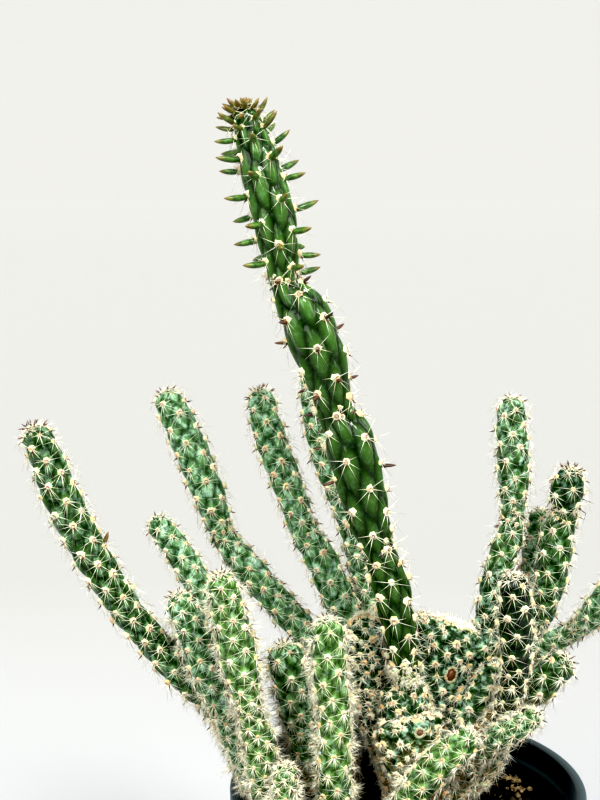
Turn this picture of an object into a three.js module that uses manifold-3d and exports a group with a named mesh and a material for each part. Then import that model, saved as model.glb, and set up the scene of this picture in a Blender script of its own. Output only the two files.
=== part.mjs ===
// Branching crested cactus in a round plastic nursery pot.
// Millimetres, +Z up, origin at the middle of the pot's base.
import * as THREE from "three";
import { mergeVertices } from "three/addons/utils/BufferGeometryUtils.js";
import Module from "manifold-3d";

const wasm = await Module();
wasm.setup();

// Pot: a tapered wall with a folded rim, and a ledge inside for stacking
const POT_HEIGHT = 150;
const RIM_RADIUS = 85;
const RIM_WIDTH = 4.8;
const RIM_SKIRT = 13;
const BASE_RADIUS = 60;
const WALL = 1.8;
const FLOOR = 2.2;
const LEDGE_HEIGHT = 138;
const LEDGE_WIDTH = 2;
const EDGE_ROUND = 0.7;
const POT_SIDES = 36;
const DRAIN_HOLES = 6;
const DRAIN_RADIUS = 4.5;
const DRAIN_CIRCLE = 42;
const DRAIN_SIDES = 10;

// Soil: fills the pot to a low mound
const SOIL_EDGE = 130;
const SOIL_MOUND = 134;
const SOIL_BOTTOM = 2.6;
const FIT = 0.35;

// Skin: tubercles in spirals one golden angle apart, each with an areole on top
const GOLDEN_ANGLE = Math.PI * (3 - Math.sqrt(5));
const SKIN_AREA = 132;
const CREST_AREA = 115;
const CREST_CORE_AREA = 190;
const TIP_CROWDING = 0.25;
const TIP_GAP = 1.8;
const STEM_GROOVE = 1;
const CREST_GROOVE = 1.7;
const AREOLE_LIFT = 0.35;
const WOOL_RADIUS = 1.5;
const WOOL_HEIGHT = 1.6;
const CELL_SIZE = 10;
const SPIRALS_STEM = [2, 3];
const SPIRALS_CREST = [5, 8];
const DOME_BULGE = 0.92;

// Spines and the leaves at the tip of the tall stem
const SPINE_LENGTH = 9;
const CREST_SPINE_LENGTH = 5.5;
const SPINE_ROOT = 0.5;
const SPINE_CLEARANCE = 1.1;
const BODY_CLEARANCE = 2.2;
const OWN_CLEARANCE = 0.3;
const RIM_CLEARANCE = 3;
const LEAF_LENGTH = 8.5;
const LEAF_RADIUS = 1.15;
const LEAF_ROOT = 0.8;
const LEAVES_ABOVE = 398;

// Feet: each stem ends in a plain plug that stands in a plain hole
const FOOT_SIDES = 8;
const FOOT_TAPER = 0.85;
const HOLE_SIDES = 10;
const HOLE_MARGIN = 0.5;
const AREOLE_MARGIN = 2;
const CREST_REACH = 36;
const SOIL_REACH = 15;
const ROOM_STEP = 6;
const SOIL_FOOT = 18;
const CREST_FOOT = 7;
const CORE_START = 12;
const LOBE_START = 5;

// Colours
const GREEN = 0x5b9460;
const DARK_GREEN = 0x2a5c31;
const BLUE_GREEN = 0x6d9a7a;
const DARK_BROWN = 0x2b2119;
const BLACK = 0x17181a;
const DARK_STEMS = ["tall_stem", "dark_stem", "dark_right_stem"];

// Each stem's line, from its foot up: stations [x, y, z, radius]
const SOIL_STEMS = {
  stem_behind_tall: [
    [4, 42, 116, 5], [-4, 42, 160, 6], [-15, 38, 203, 6.2], [-19, 36, 228, 6.4], [-22, 34, 252, 6.3],
    [-28, 32, 277, 6.5], [-37, 31, 299, 6.5], [-43, 31, 322, 6.4], [-45, 32, 340, 6],
  ],
  back_left_stem: [
    [-27, 28, 116, 5], [-29, 28, 160, 6.2], [-25, 24, 209, 6.3], [-31, 24, 230, 7], [-41, 27, 254, 7.2],
    [-49, 30, 267, 6.2], [-57, 33, 289, 6.8], [-66, 38, 313, 7], [-70, 41, 329, 6.3],
  ],
  jointed_left_stem: [
    [-46, 38, 116, 5], [-46, 35, 160, 6.2], [-41, 32, 201, 6.4], [-51, 35, 216, 6.8], [-66, 41, 232, 6.8],
    [-80, 46, 247, 6.9], [-90, 50, 260, 5.6], [-97, 52, 281, 7.5], [-107, 58, 305, 7.8], [-116, 61, 324, 6.8],
  ],
  far_left_stem: [
    [-50, 4, 116, 5], [-60, 3, 133, 5.5], [-71, 2, 147, 5.8], [-77, 1, 160, 6], [-84, -2, 178, 6.2],
    [-93, -6, 194, 5.4], [-105, -12, 210, 7], [-120, -16, 230, 6.7], [-130, -20, 245, 6.8],
    [-145, -26, 274, 7.4], [-156, -32, 301, 7.5], [-162, -36, 322, 6.7], [-165, -38, 330, 6],
  ],
  short_back_left_stem: [
    [-58, 22, 116, 5], [-62, 24, 140, 5.4], [-78, 26, 171, 5.9], [-87, 28, 200, 5.9], [-97, 32, 229, 6.1],
    [-107, 36, 249, 6.4], [-115, 39, 260, 5.9], [-120, 41, 266, 5.5],
  ],
  front_left_stem: [
    [-50, -28, 116, 5], [-63, -28, 136, 5.6], [-67, -29, 156, 6], [-70, -32, 185, 6.8], [-75, -36, 207, 5.4],
    [-78, -39, 226, 7.6], [-82, -43, 249, 7.3], [-85, -46, 266, 6],
  ],
  left_stem: [
    [-58, -12, 116, 5], [-68, -12, 132, 5.2], [-75, -15, 161, 5.3], [-87, -20, 197, 5.6],
    [-94, -22, 217, 6.9], [-100, -24, 237, 6.8], [-105, -26, 250, 5.9],
  ],
  dark_stem: [
    [-40, 6, 116, 5.2], [-48, 8, 151, 6.3], [-51, 10, 174, 7], [-55, 10, 194, 8.2], [-58, 8, 211, 8.2],
  ],
  front_stem: [
    [-33, -28, 116, 5.8], [-35, -30, 157, 7.4], [-36, -32, 181, 7.2], [-36, -34, 204, 6.7],
    [-38, -36, 222, 7.3], [-39, -38, 242, 6.4],
  ],
  front_left_stub: [
    [-48, -46, 116, 5], [-58, -44, 150, 5.5], [-58, -43, 176, 4.9],
  ],
  front_right_stem: [
    [-14, -33, 116, 5.5], [-9, -34, 143, 6], [0, -37, 163, 6.8], [10, -41, 179, 6.8], [19, -44, 189, 6.3],
    [23, -45, 193, 5.4],
  ],
};

const CREST_STEMS = {
  tall_stem: [
    [0, -4, 186, 5.5], [-3, -6, 215, 6.3], [-8, -8, 246, 8.1], [-12, -9, 260, 7.9], [-16, -10, 272, 7.1],
    [-22, -11, 293, 10], [-29, -12, 322, 10.6], [-35, -12, 336, 7.9], [-43, -11, 363, 10.9],
    [-51, -9, 382, 10.4], [-58, -8, 394, 6.4], [-62, -5, 418, 9.1], [-67, -3, 437, 8.8], [-72, 0, 455, 7.2],
    [-75, 1, 464, 6],
  ],
  right_tall_stem: [
    [36, 12, 198, 5], [39, 15, 212, 6], [39, 16, 225, 6.5], [43, 18, 249, 6.5], [48, 20, 266, 6.2],
    [50, 21, 277, 5], [50, 24, 299, 7.1], [49, 28, 321, 6.6], [49, 29, 328, 6],
  ],
  right_jointed_stem: [
    [50, 16, 198, 4.8], [56, 19, 210, 5.2], [64, 21, 226, 5.8], [69, 20, 247, 7], [71, 18, 267, 7.2],
    [74, 17, 282, 5.7], [74, 15, 291, 7.5], [75, 14, 297, 6.6],
  ],
  right_back_stem: [
    [45, 27, 197, 4.5], [50, 31, 208, 4.7], [56, 34, 218, 4.9], [62, 36, 229, 5.7], [64, 38, 256, 6.1],
    [66, 39, 270, 5.7],
  ],
  far_right_stem: [
    [46, 8, 195, 4.4], [57, 9, 210, 4.7], [70, 7, 220, 5], [80, 2, 229, 4.5], [88, -8, 243, 6.7],
    [99, -20, 263, 6.8], [104, -29, 281, 6.2], [105, -32, 287, 5.7],
  ],
  right_stub: [
    [44, -4, 184, 5.5], [52, -5, 195, 6.4], [60, -7, 203, 7.4], [69, -11, 214, 6.6],
  ],
  front_right_stub: [
    [26, -15, 164, 4.4], [32, -20, 175, 4.7], [42, -27, 188, 5.3], [51, -31, 195, 4.6], [54, -32, 198, 4.2],
  ],
  dark_right_stem: [
    [34, -13, 182, 4.4], [43, -18, 196, 4.9], [47, -22, 216, 5.7], [46, -27, 241, 7.4], [44, -32, 261, 5.9],
  ],
};

// The crest's lobes: stations [x, y, z, half width, half thickness], and the line that each one spreads along
const CREST_FOOT_LINE = [[3, -3, 116, 8, 8], [3, -3, 132, 10, 9], [3, -3, 150, 14, 11], [0, -3, 168, 14, 11]];
const CREST_LOBES = [
  {
    stations: CREST_FOOT_LINE.concat([[-1, -4, 182, 12, 11], [-2, -5, 195, 11, 10]]),
    across: [1, 0, 0],
    endPower: 0.6,
  },
  {
    stations: [[1, 0, 140, 7, 7], [-7, 4, 166, 9.5, 7.5], [-15, 5, 191, 10, 7.5], [-19, 5, 213, 9.5, 7.5],
      [-19, 5, 227, 9, 7]],
    across: [1, 0, 0],
    endPower: 0.7,
  },
  {
    stations: [[5, 2, 138, 8, 7], [9, 6, 161, 12, 8], [12, 9, 185, 17, 8.5], [15, 11, 205, 21.5, 9],
      [20, 12, 219, 22, 8.5]],
    across: [0.87, 0, -0.5],
    endPower: 0.45,
  },
  {
    stations: [[4, -7, 138, 8, 7], [6, -13, 158, 12, 7.5], [2, -15, 174, 15.5, 7.5], [0, -15, 184, 15.5, 7]],
    across: [1, 0, 0],
    endPower: 0.5,
  },
  {
    stations: [[10, -3, 138, 7, 7], [21, -5, 151, 9, 8], [31, -6, 165, 12, 8.5], [35, -6, 174, 11.5, 8]],
    across: [0.9, 0, -0.4],
    endPower: 0.6,
  },
  {
    stations: [[12, 0, 156, 8, 7], [26, 4, 172, 16, 9], [36, 9, 189, 22, 10], [41, 11, 196, 23, 9.5]],
    across: [0.5, 0.8, 0.2],
    endPower: 0.5,
  },
];

const vec = (x, y, z) => new THREE.Vector3(x, y, z);

// Smooth curve through all values of the stations, at t from 0 to 1
function along(stations, t) {
  const spans = stations.length - 1;
  const span = Math.min(Math.floor(t * spans), spans - 1);
  const f = t * spans - span;
  const at = (i, k) => stations[Math.min(Math.max(i, 0), spans)][k];
  return stations[0].map((_, k) => {
    const [a, b, c, d] = [at(span - 1, k), at(span, k), at(span + 1, k), at(span + 2, k)];
    return b + 0.5 * f * (c - a + f * (2 * a - 5 * b + 4 * c - d + f * (3 * (b - c) + d - a)));
  });
}

const DOME_SLICES = 10;

// Slices of a rounded body: centre, frame, half width and thickness, and the length m along the skin
function railOf({ stations, across, endPower = 1 }) {
  const SLICES = 12 * stations.length;
  const slices = [];
  for (let i = 0; i <= SLICES; i++) {
    const [x, y, z, wide, thick = wide] = along(stations, i / SLICES);
    slices.push({ centre: vec(x, y, z), wide, thick });
  }
  slices.forEach((s, i) => {
    const before = slices[Math.max(i - 1, 0)].centre;
    const after = slices[Math.min(i + 1, SLICES)].centre;
    s.ahead = after.clone().sub(before).normalize();
  });
  const last = slices[SLICES];
  for (let i = 1; i <= DOME_SLICES; i++) {
    const a = (0.5 * Math.PI * i) / DOME_SLICES;
    slices.push({
      centre: last.centre.clone().addScaledVector(last.ahead, last.thick * DOME_BULGE * Math.sin(a)),
      wide: last.wide * Math.max(Math.cos(a), 1e-4) ** endPower,
      thick: last.thick * Math.max(Math.cos(a), 1e-4),
      ahead: last.ahead,
    });
  }
  slices.forEach((s, i) => {
    s.side = across
      ? vec(...across).addScaledVector(s.ahead, -vec(...across).dot(s.ahead)).normalize()
      : vec(0, 0, 0).crossVectors(s.ahead, vec(0, 1, 0)).normalize();
    s.lift = vec(0, 0, 0).crossVectors(s.ahead, s.side);
    const p = slices[Math.max(i - 1, 0)];
    s.m = i ? p.m + Math.hypot(s.centre.distanceTo(p.centre), s.thick - p.thick) : 0;
  });
  return slices;
}

// The slice at length m, with the skin's slope there
function sliceAt(rail, m) {
  let i = rail.findIndex((s) => s.m > m);
  i = i < 0 ? rail.length - 1 : Math.max(i, 1);
  const [p, q] = [rail[i - 1], rail[i]];
  const f = Math.min(Math.max((m - p.m) / (q.m - p.m), 0), 1);
  const mix = (key) => p[key].clone().lerp(q[key], f);
  return {
    centre: mix("centre"),
    side: mix("side").normalize(),
    lift: mix("lift").normalize(),
    ahead: mix("ahead").normalize(),
    wide: p.wide + f * (q.wide - p.wide),
    thick: p.thick + f * (q.thick - p.thick),
    rise: q.centre.distanceTo(p.centre) / (q.m - p.m),
    spread: (q.thick - p.thick) / (q.m - p.m),
  };
}

// The angle in an ellipse at an even share of its edge
function evenPhase(turn, wide, thick) {
  if (Math.abs(wide - thick) < 0.01) return turn;
  const STEPS = 48;
  const marks = [0];
  for (let i = 1; i <= STEPS; i++) {
    const [a, b] = [(2 * Math.PI * (i - 1)) / STEPS, (2 * Math.PI * i) / STEPS];
    const step = Math.hypot(wide * (Math.cos(b) - Math.cos(a)), thick * (Math.sin(b) - Math.sin(a)));
    marks.push(marks[i - 1] + step);
  }
  const share = turn / (2 * Math.PI) - Math.floor(turn / (2 * Math.PI));
  const want = share * marks[STEPS];
  const i = Math.max(marks.findIndex((mark) => mark >= want), 1);
  return (2 * Math.PI * (i - 1 + (want - marks[i - 1]) / (marks[i] - marks[i - 1]))) / STEPS;
}

const edgeLength = (wide, thick) =>
  Math.PI * (3 * (wide + thick) - Math.sqrt((3 * wide + thick) * (wide + 3 * thick)));

// A point of the skin, with its directions: out of it, up it and round it
function skinAt(rail, m, turn) {
  const s = sliceAt(rail, m);
  const phase = evenPhase(turn, s.wide, s.thick);
  const [c, n] = [Math.cos(phase), Math.sin(phase)];
  const flat = s.side.clone().multiplyScalar(c / s.wide).addScaledVector(s.lift, n / s.thick).normalize();
  const out = flat.clone().multiplyScalar(s.rise).addScaledVector(s.ahead, -s.spread).normalize();
  const round = vec(0, 0, 0).crossVectors(s.ahead, out).normalize();
  const up = vec(0, 0, 0).crossVectors(out, round);
  const point = s.centre.clone().addScaledVector(s.side, s.wide * c).addScaledVector(s.lift, s.thick * n);
  return { point, out, round, up };
}

// Areoles in order up the body, each one golden angle on, at an even area and crowded at the tip
function areolesOf(rail, area, start, extra) {
  const end = rail[rail.length - 1].m;
  const stepAt = (m) => {
    const s = sliceAt(rail, m);
    return Math.min(area / edgeLength(s.wide, s.thick), TIP_CROWDING * (end - m));
  };
  const list = [];
  const first = stepAt(start);
  for (let n = -extra; n < 0; n++) list.push({ n, m: start + n * first, step: first });
  let m = start;
  let count = 0;
  for (let n = 0; end - m > TIP_GAP; n++) {
    list.push({ n, m, step: stepAt(m) });
    m += stepAt(m);
    count = n + 1;
  }
  for (let n = count; n < count + extra; n++) {
    list.push({ n, m, step: stepAt(m) });
    m += stepAt(m);
  }
  return { at: (n) => list[n + extra], count };
}

const wrapped = (angle) => angle - 2 * Math.PI * Math.round(angle / (2 * Math.PI));

// Balls that fill a body, to keep spines out of it
function ballsOf(rail, name) {
  const balls = [];
  rail.forEach((s, i) => {
    if (i % 4 && i < rail.length - DOME_SLICES) return;
    const reach = Math.max(s.wide - s.thick, 0);
    const shares = reach > 1 ? [-1, -0.5, 0, 0.5, 1] : [0];
    shares.forEach((share) => {
      const centre = s.centre.clone().addScaledVector(s.side, share * reach);
      const radius = Math.min(s.thick, s.wide) * Math.sqrt(1 - ((share * reach) / s.wide) ** 2);
      balls.push({ centre, radius, name });
    });
  });
  return balls;
}

// The least distance between two straight lines a-b and c-d
function lineGap(a, b, c, d) {
  const [u, v, w] = [b.clone().sub(a), d.clone().sub(c), a.clone().sub(c)];
  const [uu, uv, vv, uw, vw] = [u.dot(u), u.dot(v), v.dot(v), u.dot(w), v.dot(w)];
  const det = uu * vv - uv * uv;
  const clamp = (x) => Math.min(Math.max(x, 0), 1);
  let s = det > 1e-9 ? clamp((uv * vw - vv * uw) / det) : 0;
  const t = clamp((uv * s + vw) / vv);
  s = clamp((uv * t - uw) / uu);
  return w.addScaledVector(u, s).addScaledVector(v, -t).length();
}

// A spine or a leaf leans in the first of these directions [up, round, out] that is free
const SPINE_LEANS = [
  [-0.55, 0, 0.85], [-0.35, 0.6, 0.72], [-0.35, -0.6, 0.72], [0.05, 0, 1], [0.3, 0.6, 0.75],
  [0.3, -0.6, 0.75], [0.65, 0, 0.75],
];
const LEAF_LEANS = [[0.45, 0, 0.9], [0.75, 0.1, 0.65], [0.2, 0.2, 0.95]];
const BODY_TESTS = [0.3, 0.45, 0.6, 0.75, 0.9, 1];

const bodies = [];
const placedSpines = [];

function isFree(from, to, name) {
  const reach = Math.hypot(to.x, to.y);
  const inSoil = to.z < SOIL_MOUND + RIM_CLEARANCE && reach < RIM_RADIUS;
  const atRim = to.z < POT_HEIGHT + RIM_CLEARANCE && reach > RIM_RADIUS - RIM_WIDTH - RIM_CLEARANCE;
  if (inSoil || atRim) return false;
  for (const share of BODY_TESTS) {
    const p = from.clone().lerp(to, share);
    const hit = bodies.some((b) => {
      const margin = b.name === name ? OWN_CLEARANCE : BODY_CLEARANCE;
      return b.centre.distanceTo(p) < b.radius + margin;
    });
    if (hit) return false;
  }
  return placedSpines.every((s) => lineGap(from, to, s.from, s.to) > SPINE_CLEARANCE);
}

// The free end of the spine or leaf on one areole, or null where only wool has room
function freeEnd(at, length, leans, name, n) {
  for (let i = 0; i < leans.length; i++) {
    const [up, round, out] = leans[(n + i) % leans.length];
    const to = at.point.clone()
      .addScaledVector(at.up, up * length)
      .addScaledVector(at.round, round * length)
      .addScaledVector(at.out, out * length);
    const from = at.point.clone().addScaledVector(at.out, AREOLE_LIFT);
    if (isFree(from, to, name)) {
      placedSpines.push({ from, to });
      return to;
    }
  }
  return null;
}

// One body's skin: a six-cornered tubercle for each areole, and both ends closed
class Skin {
  constructor(rail, name, { area, start, spirals, spine, groove }) {
    this.rail = rail;
    this.name = name;
    this.spine = spine;
    this.spirals = spirals;
    this.groove = groove;
    this.areoles = areolesOf(rail, area, start, spirals[0] + spirals[1]);
    this.points = [];
    this.turns = [];
    this.faces = [];
    this.corners = new Map();
    for (let n = 0; n < this.areoles.count; n++) this.tubercle(n);
    this.closeEnds();
  }

  add(point, turn = 0) {
    this.points.push(point);
    this.turns.push(turn);
    return this.points.length - 1;
  }

  // How large the skin's cells are at an areole, 1 where they have their full size
  cellScale(n) {
    const { m, step } = this.areoles.at(n);
    const s = sliceAt(this.rail, m);
    return Math.min(1, Math.sqrt(step * edgeLength(s.wide, s.thick)) / CELL_SIZE);
  }

  // A low corner between three areoles
  corner(key, n, first, second) {
    if (this.corners.has(key)) return this.corners.get(key);
    const turn = n * GOLDEN_ANGLE + (wrapped(first * GOLDEN_ANGLE) + wrapped(second * GOLDEN_ANGLE)) / 3;
    const m = (this.areoles.at(n).m + this.areoles.at(n + first).m + this.areoles.at(n + second).m) / 3;
    const at = skinAt(this.rail, m, turn);
    const depth = this.groove * this.cellScale(n);
    const index = this.add(at.point.addScaledVector(at.out, -depth), turn);
    this.corners.set(key, index);
    return index;
  }

  upper(n) {
    const [a, b] = this.spirals;
    return this.corner("u" + n, n, a, a + b);
  }

  lower(n) {
    const [a, b] = this.spirals;
    return this.corner("l" + n, n, a + b, b);
  }

  tubercle(n) {
    const [a, b] = this.spirals;
    const h = [this.upper(n), this.lower(n), this.upper(n - a)];
    h.push(this.lower(n - a - b), this.upper(n - a - b), this.lower(n - b));
    const at = skinAt(this.rail, this.areoles.at(n).m, n * GOLDEN_ANGLE);
    const scale = this.cellScale(n);
    const leafy = this.name === "tall_stem" && at.point.z > LEAVES_ABOVE;
    const length = (leafy ? LEAF_LENGTH : this.spine) * (0.3 + 0.7 * scale);
    const end = freeEnd(at, length, leafy ? LEAF_LEANS : SPINE_LEANS, this.name, n);
    const root = (end ? (leafy ? LEAF_ROOT : SPINE_ROOT) : WOOL_RADIUS) * scale;
    const ring = [0, 1, 2].map((i) => {
      const angle = 0.5 * Math.PI - (2 * Math.PI * i) / 3;
      return this.add(
        at.point.clone()
          .addScaledVector(at.out, AREOLE_LIFT * scale)
          .addScaledVector(at.round, root * Math.cos(angle))
          .addScaledVector(at.up, root * Math.sin(angle)),
      );
    });
    const [r0, r1, r2] = ring;
    this.faces.push([h[0], h[1], r0], [h[1], h[2], r0], [h[2], r1, r0], [h[2], h[3], r1], [h[3], h[4], r1]);
    this.faces.push([h[4], r2, r1], [h[4], h[5], r2], [h[5], h[0], r2], [h[0], r0, r2]);
    const wool = at.point.clone().addScaledVector(at.out, WOOL_HEIGHT * scale);
    this.cap(end && leafy ? this.belly(ring, at.point, end) : ring, this.add(end || wool));
  }

  cap([r0, r1, r2], top) {
    this.faces.push([r0, r1, top], [r1, r2, top], [r2, r0, top]);
  }

  // The widest ring of a leaf, a third of the way out
  belly(ring, root, end) {
    const BELLY_SHARE = 0.38;
    const middle = root.clone().lerp(end, BELLY_SHARE);
    const grown = ring.map((i) => {
      const arm = this.points[i].clone().sub(root);
      return this.add(middle.clone().addScaledVector(arm.normalize(), LEAF_RADIUS));
    });
    for (let i = 0; i < 3; i++) {
      const j = (i + 1) % 3;
      this.faces.push([ring[i], ring[j], grown[i]], [ring[j], grown[j], grown[i]]);
    }
    return grown;
  }

  // The open edges, chained into loops that run as their faces do
  loops() {
    const next = new Map();
    const edges = new Set(this.faces.flatMap(([a, b, c]) => [a + " " + b, b + " " + c, c + " " + a]));
    edges.forEach((edge) => {
      const [a, b] = edge.split(" ").map(Number);
      if (!edges.has(b + " " + a)) next.set(a, b);
    });
    const loops = [];
    while (next.size) {
      const loop = [next.keys().next().value];
      while (next.has(loop[loop.length - 1])) {
        const here = loop[loop.length - 1];
        loop.push(next.get(here));
        next.delete(here);
      }
      loop.pop();
      loops.push(loop);
    }
    return loops;
  }

  closeEnds() {
    const foot = this.rail[0].centre;
    const top = this.rail[this.rail.length - 1].centre;
    const reach = (loop) => this.points[loop[0]].distanceTo(foot) - this.points[loop[0]].distanceTo(top);
    const [low, high] = this.loops().sort((a, b) => reach(a) - reach(b));
    this.closeFoot(low);
    const tip = this.add(top.clone());
    high.forEach((v, i) => this.faces.push([high[(i + 1) % high.length], v, tip]));
  }

  // A plug with a flat end, joined to the first tubercles
  closeFoot(loop) {
    const s = this.rail[0];
    const ring = [];
    for (let i = 0; i < FOOT_SIDES; i++) {
      const angle = (2 * Math.PI * i) / FOOT_SIDES;
      ring.push(this.add(
        s.centre.clone()
          .addScaledVector(s.side, FOOT_TAPER * s.wide * Math.cos(angle))
          .addScaledVector(s.lift, FOOT_TAPER * s.thick * Math.sin(angle)),
      ));
    }
    const steps = loop.map((v, i) => wrapped(this.turns[loop[(i + 1) % loop.length]] - this.turns[v]));
    const way = Math.sign(steps.reduce((sum, step) => sum + step, 0));
    const pick = (angle) => Math.round((angle * FOOT_SIDES) / (2 * Math.PI));
    const vertex = (k) => ring[((k % FOOT_SIDES) + FOOT_SIDES) % FOOT_SIDES];
    let angle = this.turns[loop[0]];
    const start = pick(angle + steps[0] / 2);
    let held = start;
    loop.forEach((v, i) => {
      const w = loop[(i + 1) % loop.length];
      this.faces.push([w, v, vertex(held)]);
      angle += steps[i];
      const final = i === loop.length - 1;
      const goal = final ? start + way * FOOT_SIDES : pick(angle + steps[(i + 1) % loop.length] / 2);
      for (; (goal - held) * way > 0; held += way) this.faces.push([w, vertex(held), vertex(held + way)]);
    });
    for (let k = 1; k < FOOT_SIDES - 1; k++) {
      this.faces.push([vertex(0), vertex(way * (k + 1)), vertex(way * k)]);
    }
  }

  geometry() {
    let volume = 0;
    this.faces.forEach(([a, b, c]) => {
      const [p, q, r] = [this.points[a], this.points[b], this.points[c]];
      volume += p.dot(vec(0, 0, 0).crossVectors(q, r));
    });
    const flat = this.faces.flatMap(([a, b, c]) => (volume > 0 ? [a, b, c] : [a, c, b]));
    const made = new THREE.BufferGeometry();
    const values = this.points.flatMap((p) => [p.x, p.y, p.z]);
    made.setAttribute("position", new THREE.Float32BufferAttribute(values, 3));
    made.setIndex(flat);
    return made;
  }
}

// A closed geometry as a solid that can be joined and cut
function solidOf(geometry) {
  const bare = geometry.clone();
  bare.deleteAttribute("normal");
  bare.deleteAttribute("uv");
  const merged = mergeVertices(bare, 1e-4);
  return new wasm.Manifold(new wasm.Mesh({
    numProp: 3,
    vertProperties: merged.attributes.position.array,
    triVerts: new Uint32Array(merged.index.array),
  }));
}

function geometryOf(solid) {
  const mesh = solid.getMesh();
  const made = new THREE.BufferGeometry();
  made.setAttribute("position", new THREE.BufferAttribute(mesh.vertProperties, 3));
  made.setIndex(new THREE.BufferAttribute(mesh.triVerts, 1));
  return made;
}

// The largest body of a joined solid, so that scraps and closed pockets are dropped
const mainBody = (solid) => solid.decompose().sort((a, b) => b.volume() - a.volume())[0];

// The room round a stem, from its foot's end up: a plain hole at the foot, wider where the skin has areoles
function roomRound(rail, depth, reach, step) {
  const rings = Math.ceil((depth + reach) / step);
  const points = [];
  const faces = [];
  for (let i = 0; i <= rings; i++) {
    const s = sliceAt(rail, i * step);
    const margin = i * step <= depth ? HOLE_MARGIN : AREOLE_MARGIN;
    const back = i ? 0 : -FIT;
    for (let j = 0; j < HOLE_SIDES; j++) {
      const angle = (2 * Math.PI * j) / HOLE_SIDES;
      const [wide, thick] = [s.wide, s.thick].map((r) => r / Math.cos(Math.PI / HOLE_SIDES) + margin);
      const point = s.centre.clone()
        .addScaledVector(s.ahead, back)
        .addScaledVector(s.side, wide * Math.cos(angle))
        .addScaledVector(s.lift, thick * Math.sin(angle));
      points.push(point.x, point.y, point.z);
    }
  }
  const at = (i, j) => i * HOLE_SIDES + (j % HOLE_SIDES);
  for (let i = 0; i < rings; i++) {
    for (let j = 0; j < HOLE_SIDES; j++) {
      faces.push(at(i, j), at(i, j + 1), at(i + 1, j + 1), at(i, j), at(i + 1, j + 1), at(i + 1, j));
    }
  }
  for (let j = 1; j < HOLE_SIDES - 1; j++) {
    faces.push(at(0, 0), at(0, j + 1), at(0, j), at(rings, 0), at(rings, j), at(rings, j + 1));
  }
  const room = new THREE.BufferGeometry();
  room.setAttribute("position", new THREE.Float32BufferAttribute(points, 3));
  room.setIndex(faces);
  return solidOf(room);
}

// The whole hole for a stem: along its line, and straight across its first bend
function holeFor(rail, depth, reach) {
  const CHORD = 14;
  return roomRound(rail, depth, reach, ROOM_STEP).add(roomRound(rail, depth, CHORD, depth + CHORD));
}

function mesh(name, geometry, color, roughness) {
  const shaded = geometry.index ? geometry.toNonIndexed() : geometry;
  shaded.computeVertexNormals();
  const made = new THREE.Mesh(shaded, new THREE.MeshStandardMaterial({ color, roughness, metalness: 0 }));
  made.name = name;
  return made;
}

// The pot's inner wall below its ledge
function innerRadius(z) {
  const low = BASE_RADIUS - WALL;
  const high = RIM_RADIUS - RIM_WIDTH - LEDGE_WIDTH;
  return low + ((high - low) * (z - FLOOR)) / (LEDGE_HEIGHT - FLOOR);
}

function potSolid() {
  const neck = innerRadius(LEDGE_HEIGHT) + WALL;
  const skirt = POT_HEIGHT - RIM_SKIRT;
  const lip = RIM_RADIUS - RIM_WIDTH;
  const profile = [
    [0, 0],
    [BASE_RADIUS - 2, 0],
    [BASE_RADIUS, 2],
    [neck, skirt + 1],
    [neck + 0.6, POT_HEIGHT - WALL],
    [RIM_RADIUS - WALL, POT_HEIGHT - WALL],
    [RIM_RADIUS - WALL - 0.4, skirt],
    [RIM_RADIUS - 0.4, skirt],
    [RIM_RADIUS, POT_HEIGHT - EDGE_ROUND],
    [RIM_RADIUS - EDGE_ROUND, POT_HEIGHT],
    [lip + EDGE_ROUND, POT_HEIGHT],
    [lip, POT_HEIGHT - EDGE_ROUND],
    [lip, LEDGE_HEIGHT + 1],
    [innerRadius(LEDGE_HEIGHT), LEDGE_HEIGHT],
    [innerRadius(FLOOR), FLOOR],
    [0, FLOOR],
  ].map(([r, z]) => new THREE.Vector2(r, z));
  let solid = solidOf(new THREE.LatheGeometry(profile, POT_SIDES).rotateX(Math.PI / 2));
  for (let i = 0; i < DRAIN_HOLES; i++) {
    const angle = (2 * Math.PI * i) / DRAIN_HOLES;
    const drain = new THREE.CylinderGeometry(DRAIN_RADIUS, DRAIN_RADIUS, 4 * FLOOR, DRAIN_SIDES);
    drain.rotateX(Math.PI / 2);
    drain.translate(DRAIN_CIRCLE * Math.cos(angle), DRAIN_CIRCLE * Math.sin(angle), 0);
    solid = solid.subtract(solidOf(drain));
  }
  return solid;
}

function soilSolid(holes) {
  const edge = innerRadius(SOIL_EDGE) - FIT;
  const profile = [
    [0, SOIL_BOTTOM],
    [innerRadius(SOIL_BOTTOM) - FIT, SOIL_BOTTOM],
    [edge, SOIL_EDGE],
    [edge * 0.8, SOIL_EDGE + 1.5],
    [edge * 0.5, SOIL_MOUND - 1],
    [0, SOIL_MOUND],
  ].map(([r, z]) => new THREE.Vector2(r, z));
  const full = solidOf(new THREE.LatheGeometry(profile, POT_SIDES).rotateX(Math.PI / 2));
  return mainBody(holes.reduce((soil, hole) => soil.subtract(hole), full));
}

const stemsOf = (lines, foot) =>
  Object.entries(lines).map(([name, stations]) => ({ name, foot, rail: railOf({ stations }) }));

const soilStems = stemsOf(SOIL_STEMS, SOIL_FOOT);
const crestStems = stemsOf(CREST_STEMS, CREST_FOOT);
const lobes = CREST_LOBES.map(railOf);
[...soilStems, ...crestStems].forEach((stem) => bodies.push(...ballsOf(stem.rail, stem.name)));
lobes.forEach((rail) => bodies.push(...ballsOf(rail, "crest")));

const stemShape = {
  area: SKIN_AREA,
  spirals: SPIRALS_STEM,
  spine: SPINE_LENGTH,
  groove: STEM_GROOVE,
};
const lobeShape = {
  area: CREST_AREA,
  spirals: SPIRALS_CREST,
  spine: CREST_SPINE_LENGTH,
  groove: CREST_GROOVE,
  start: LOBE_START,
};
const coreShape = { ...lobeShape, area: CREST_CORE_AREA, start: SOIL_FOOT + CORE_START };

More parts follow.
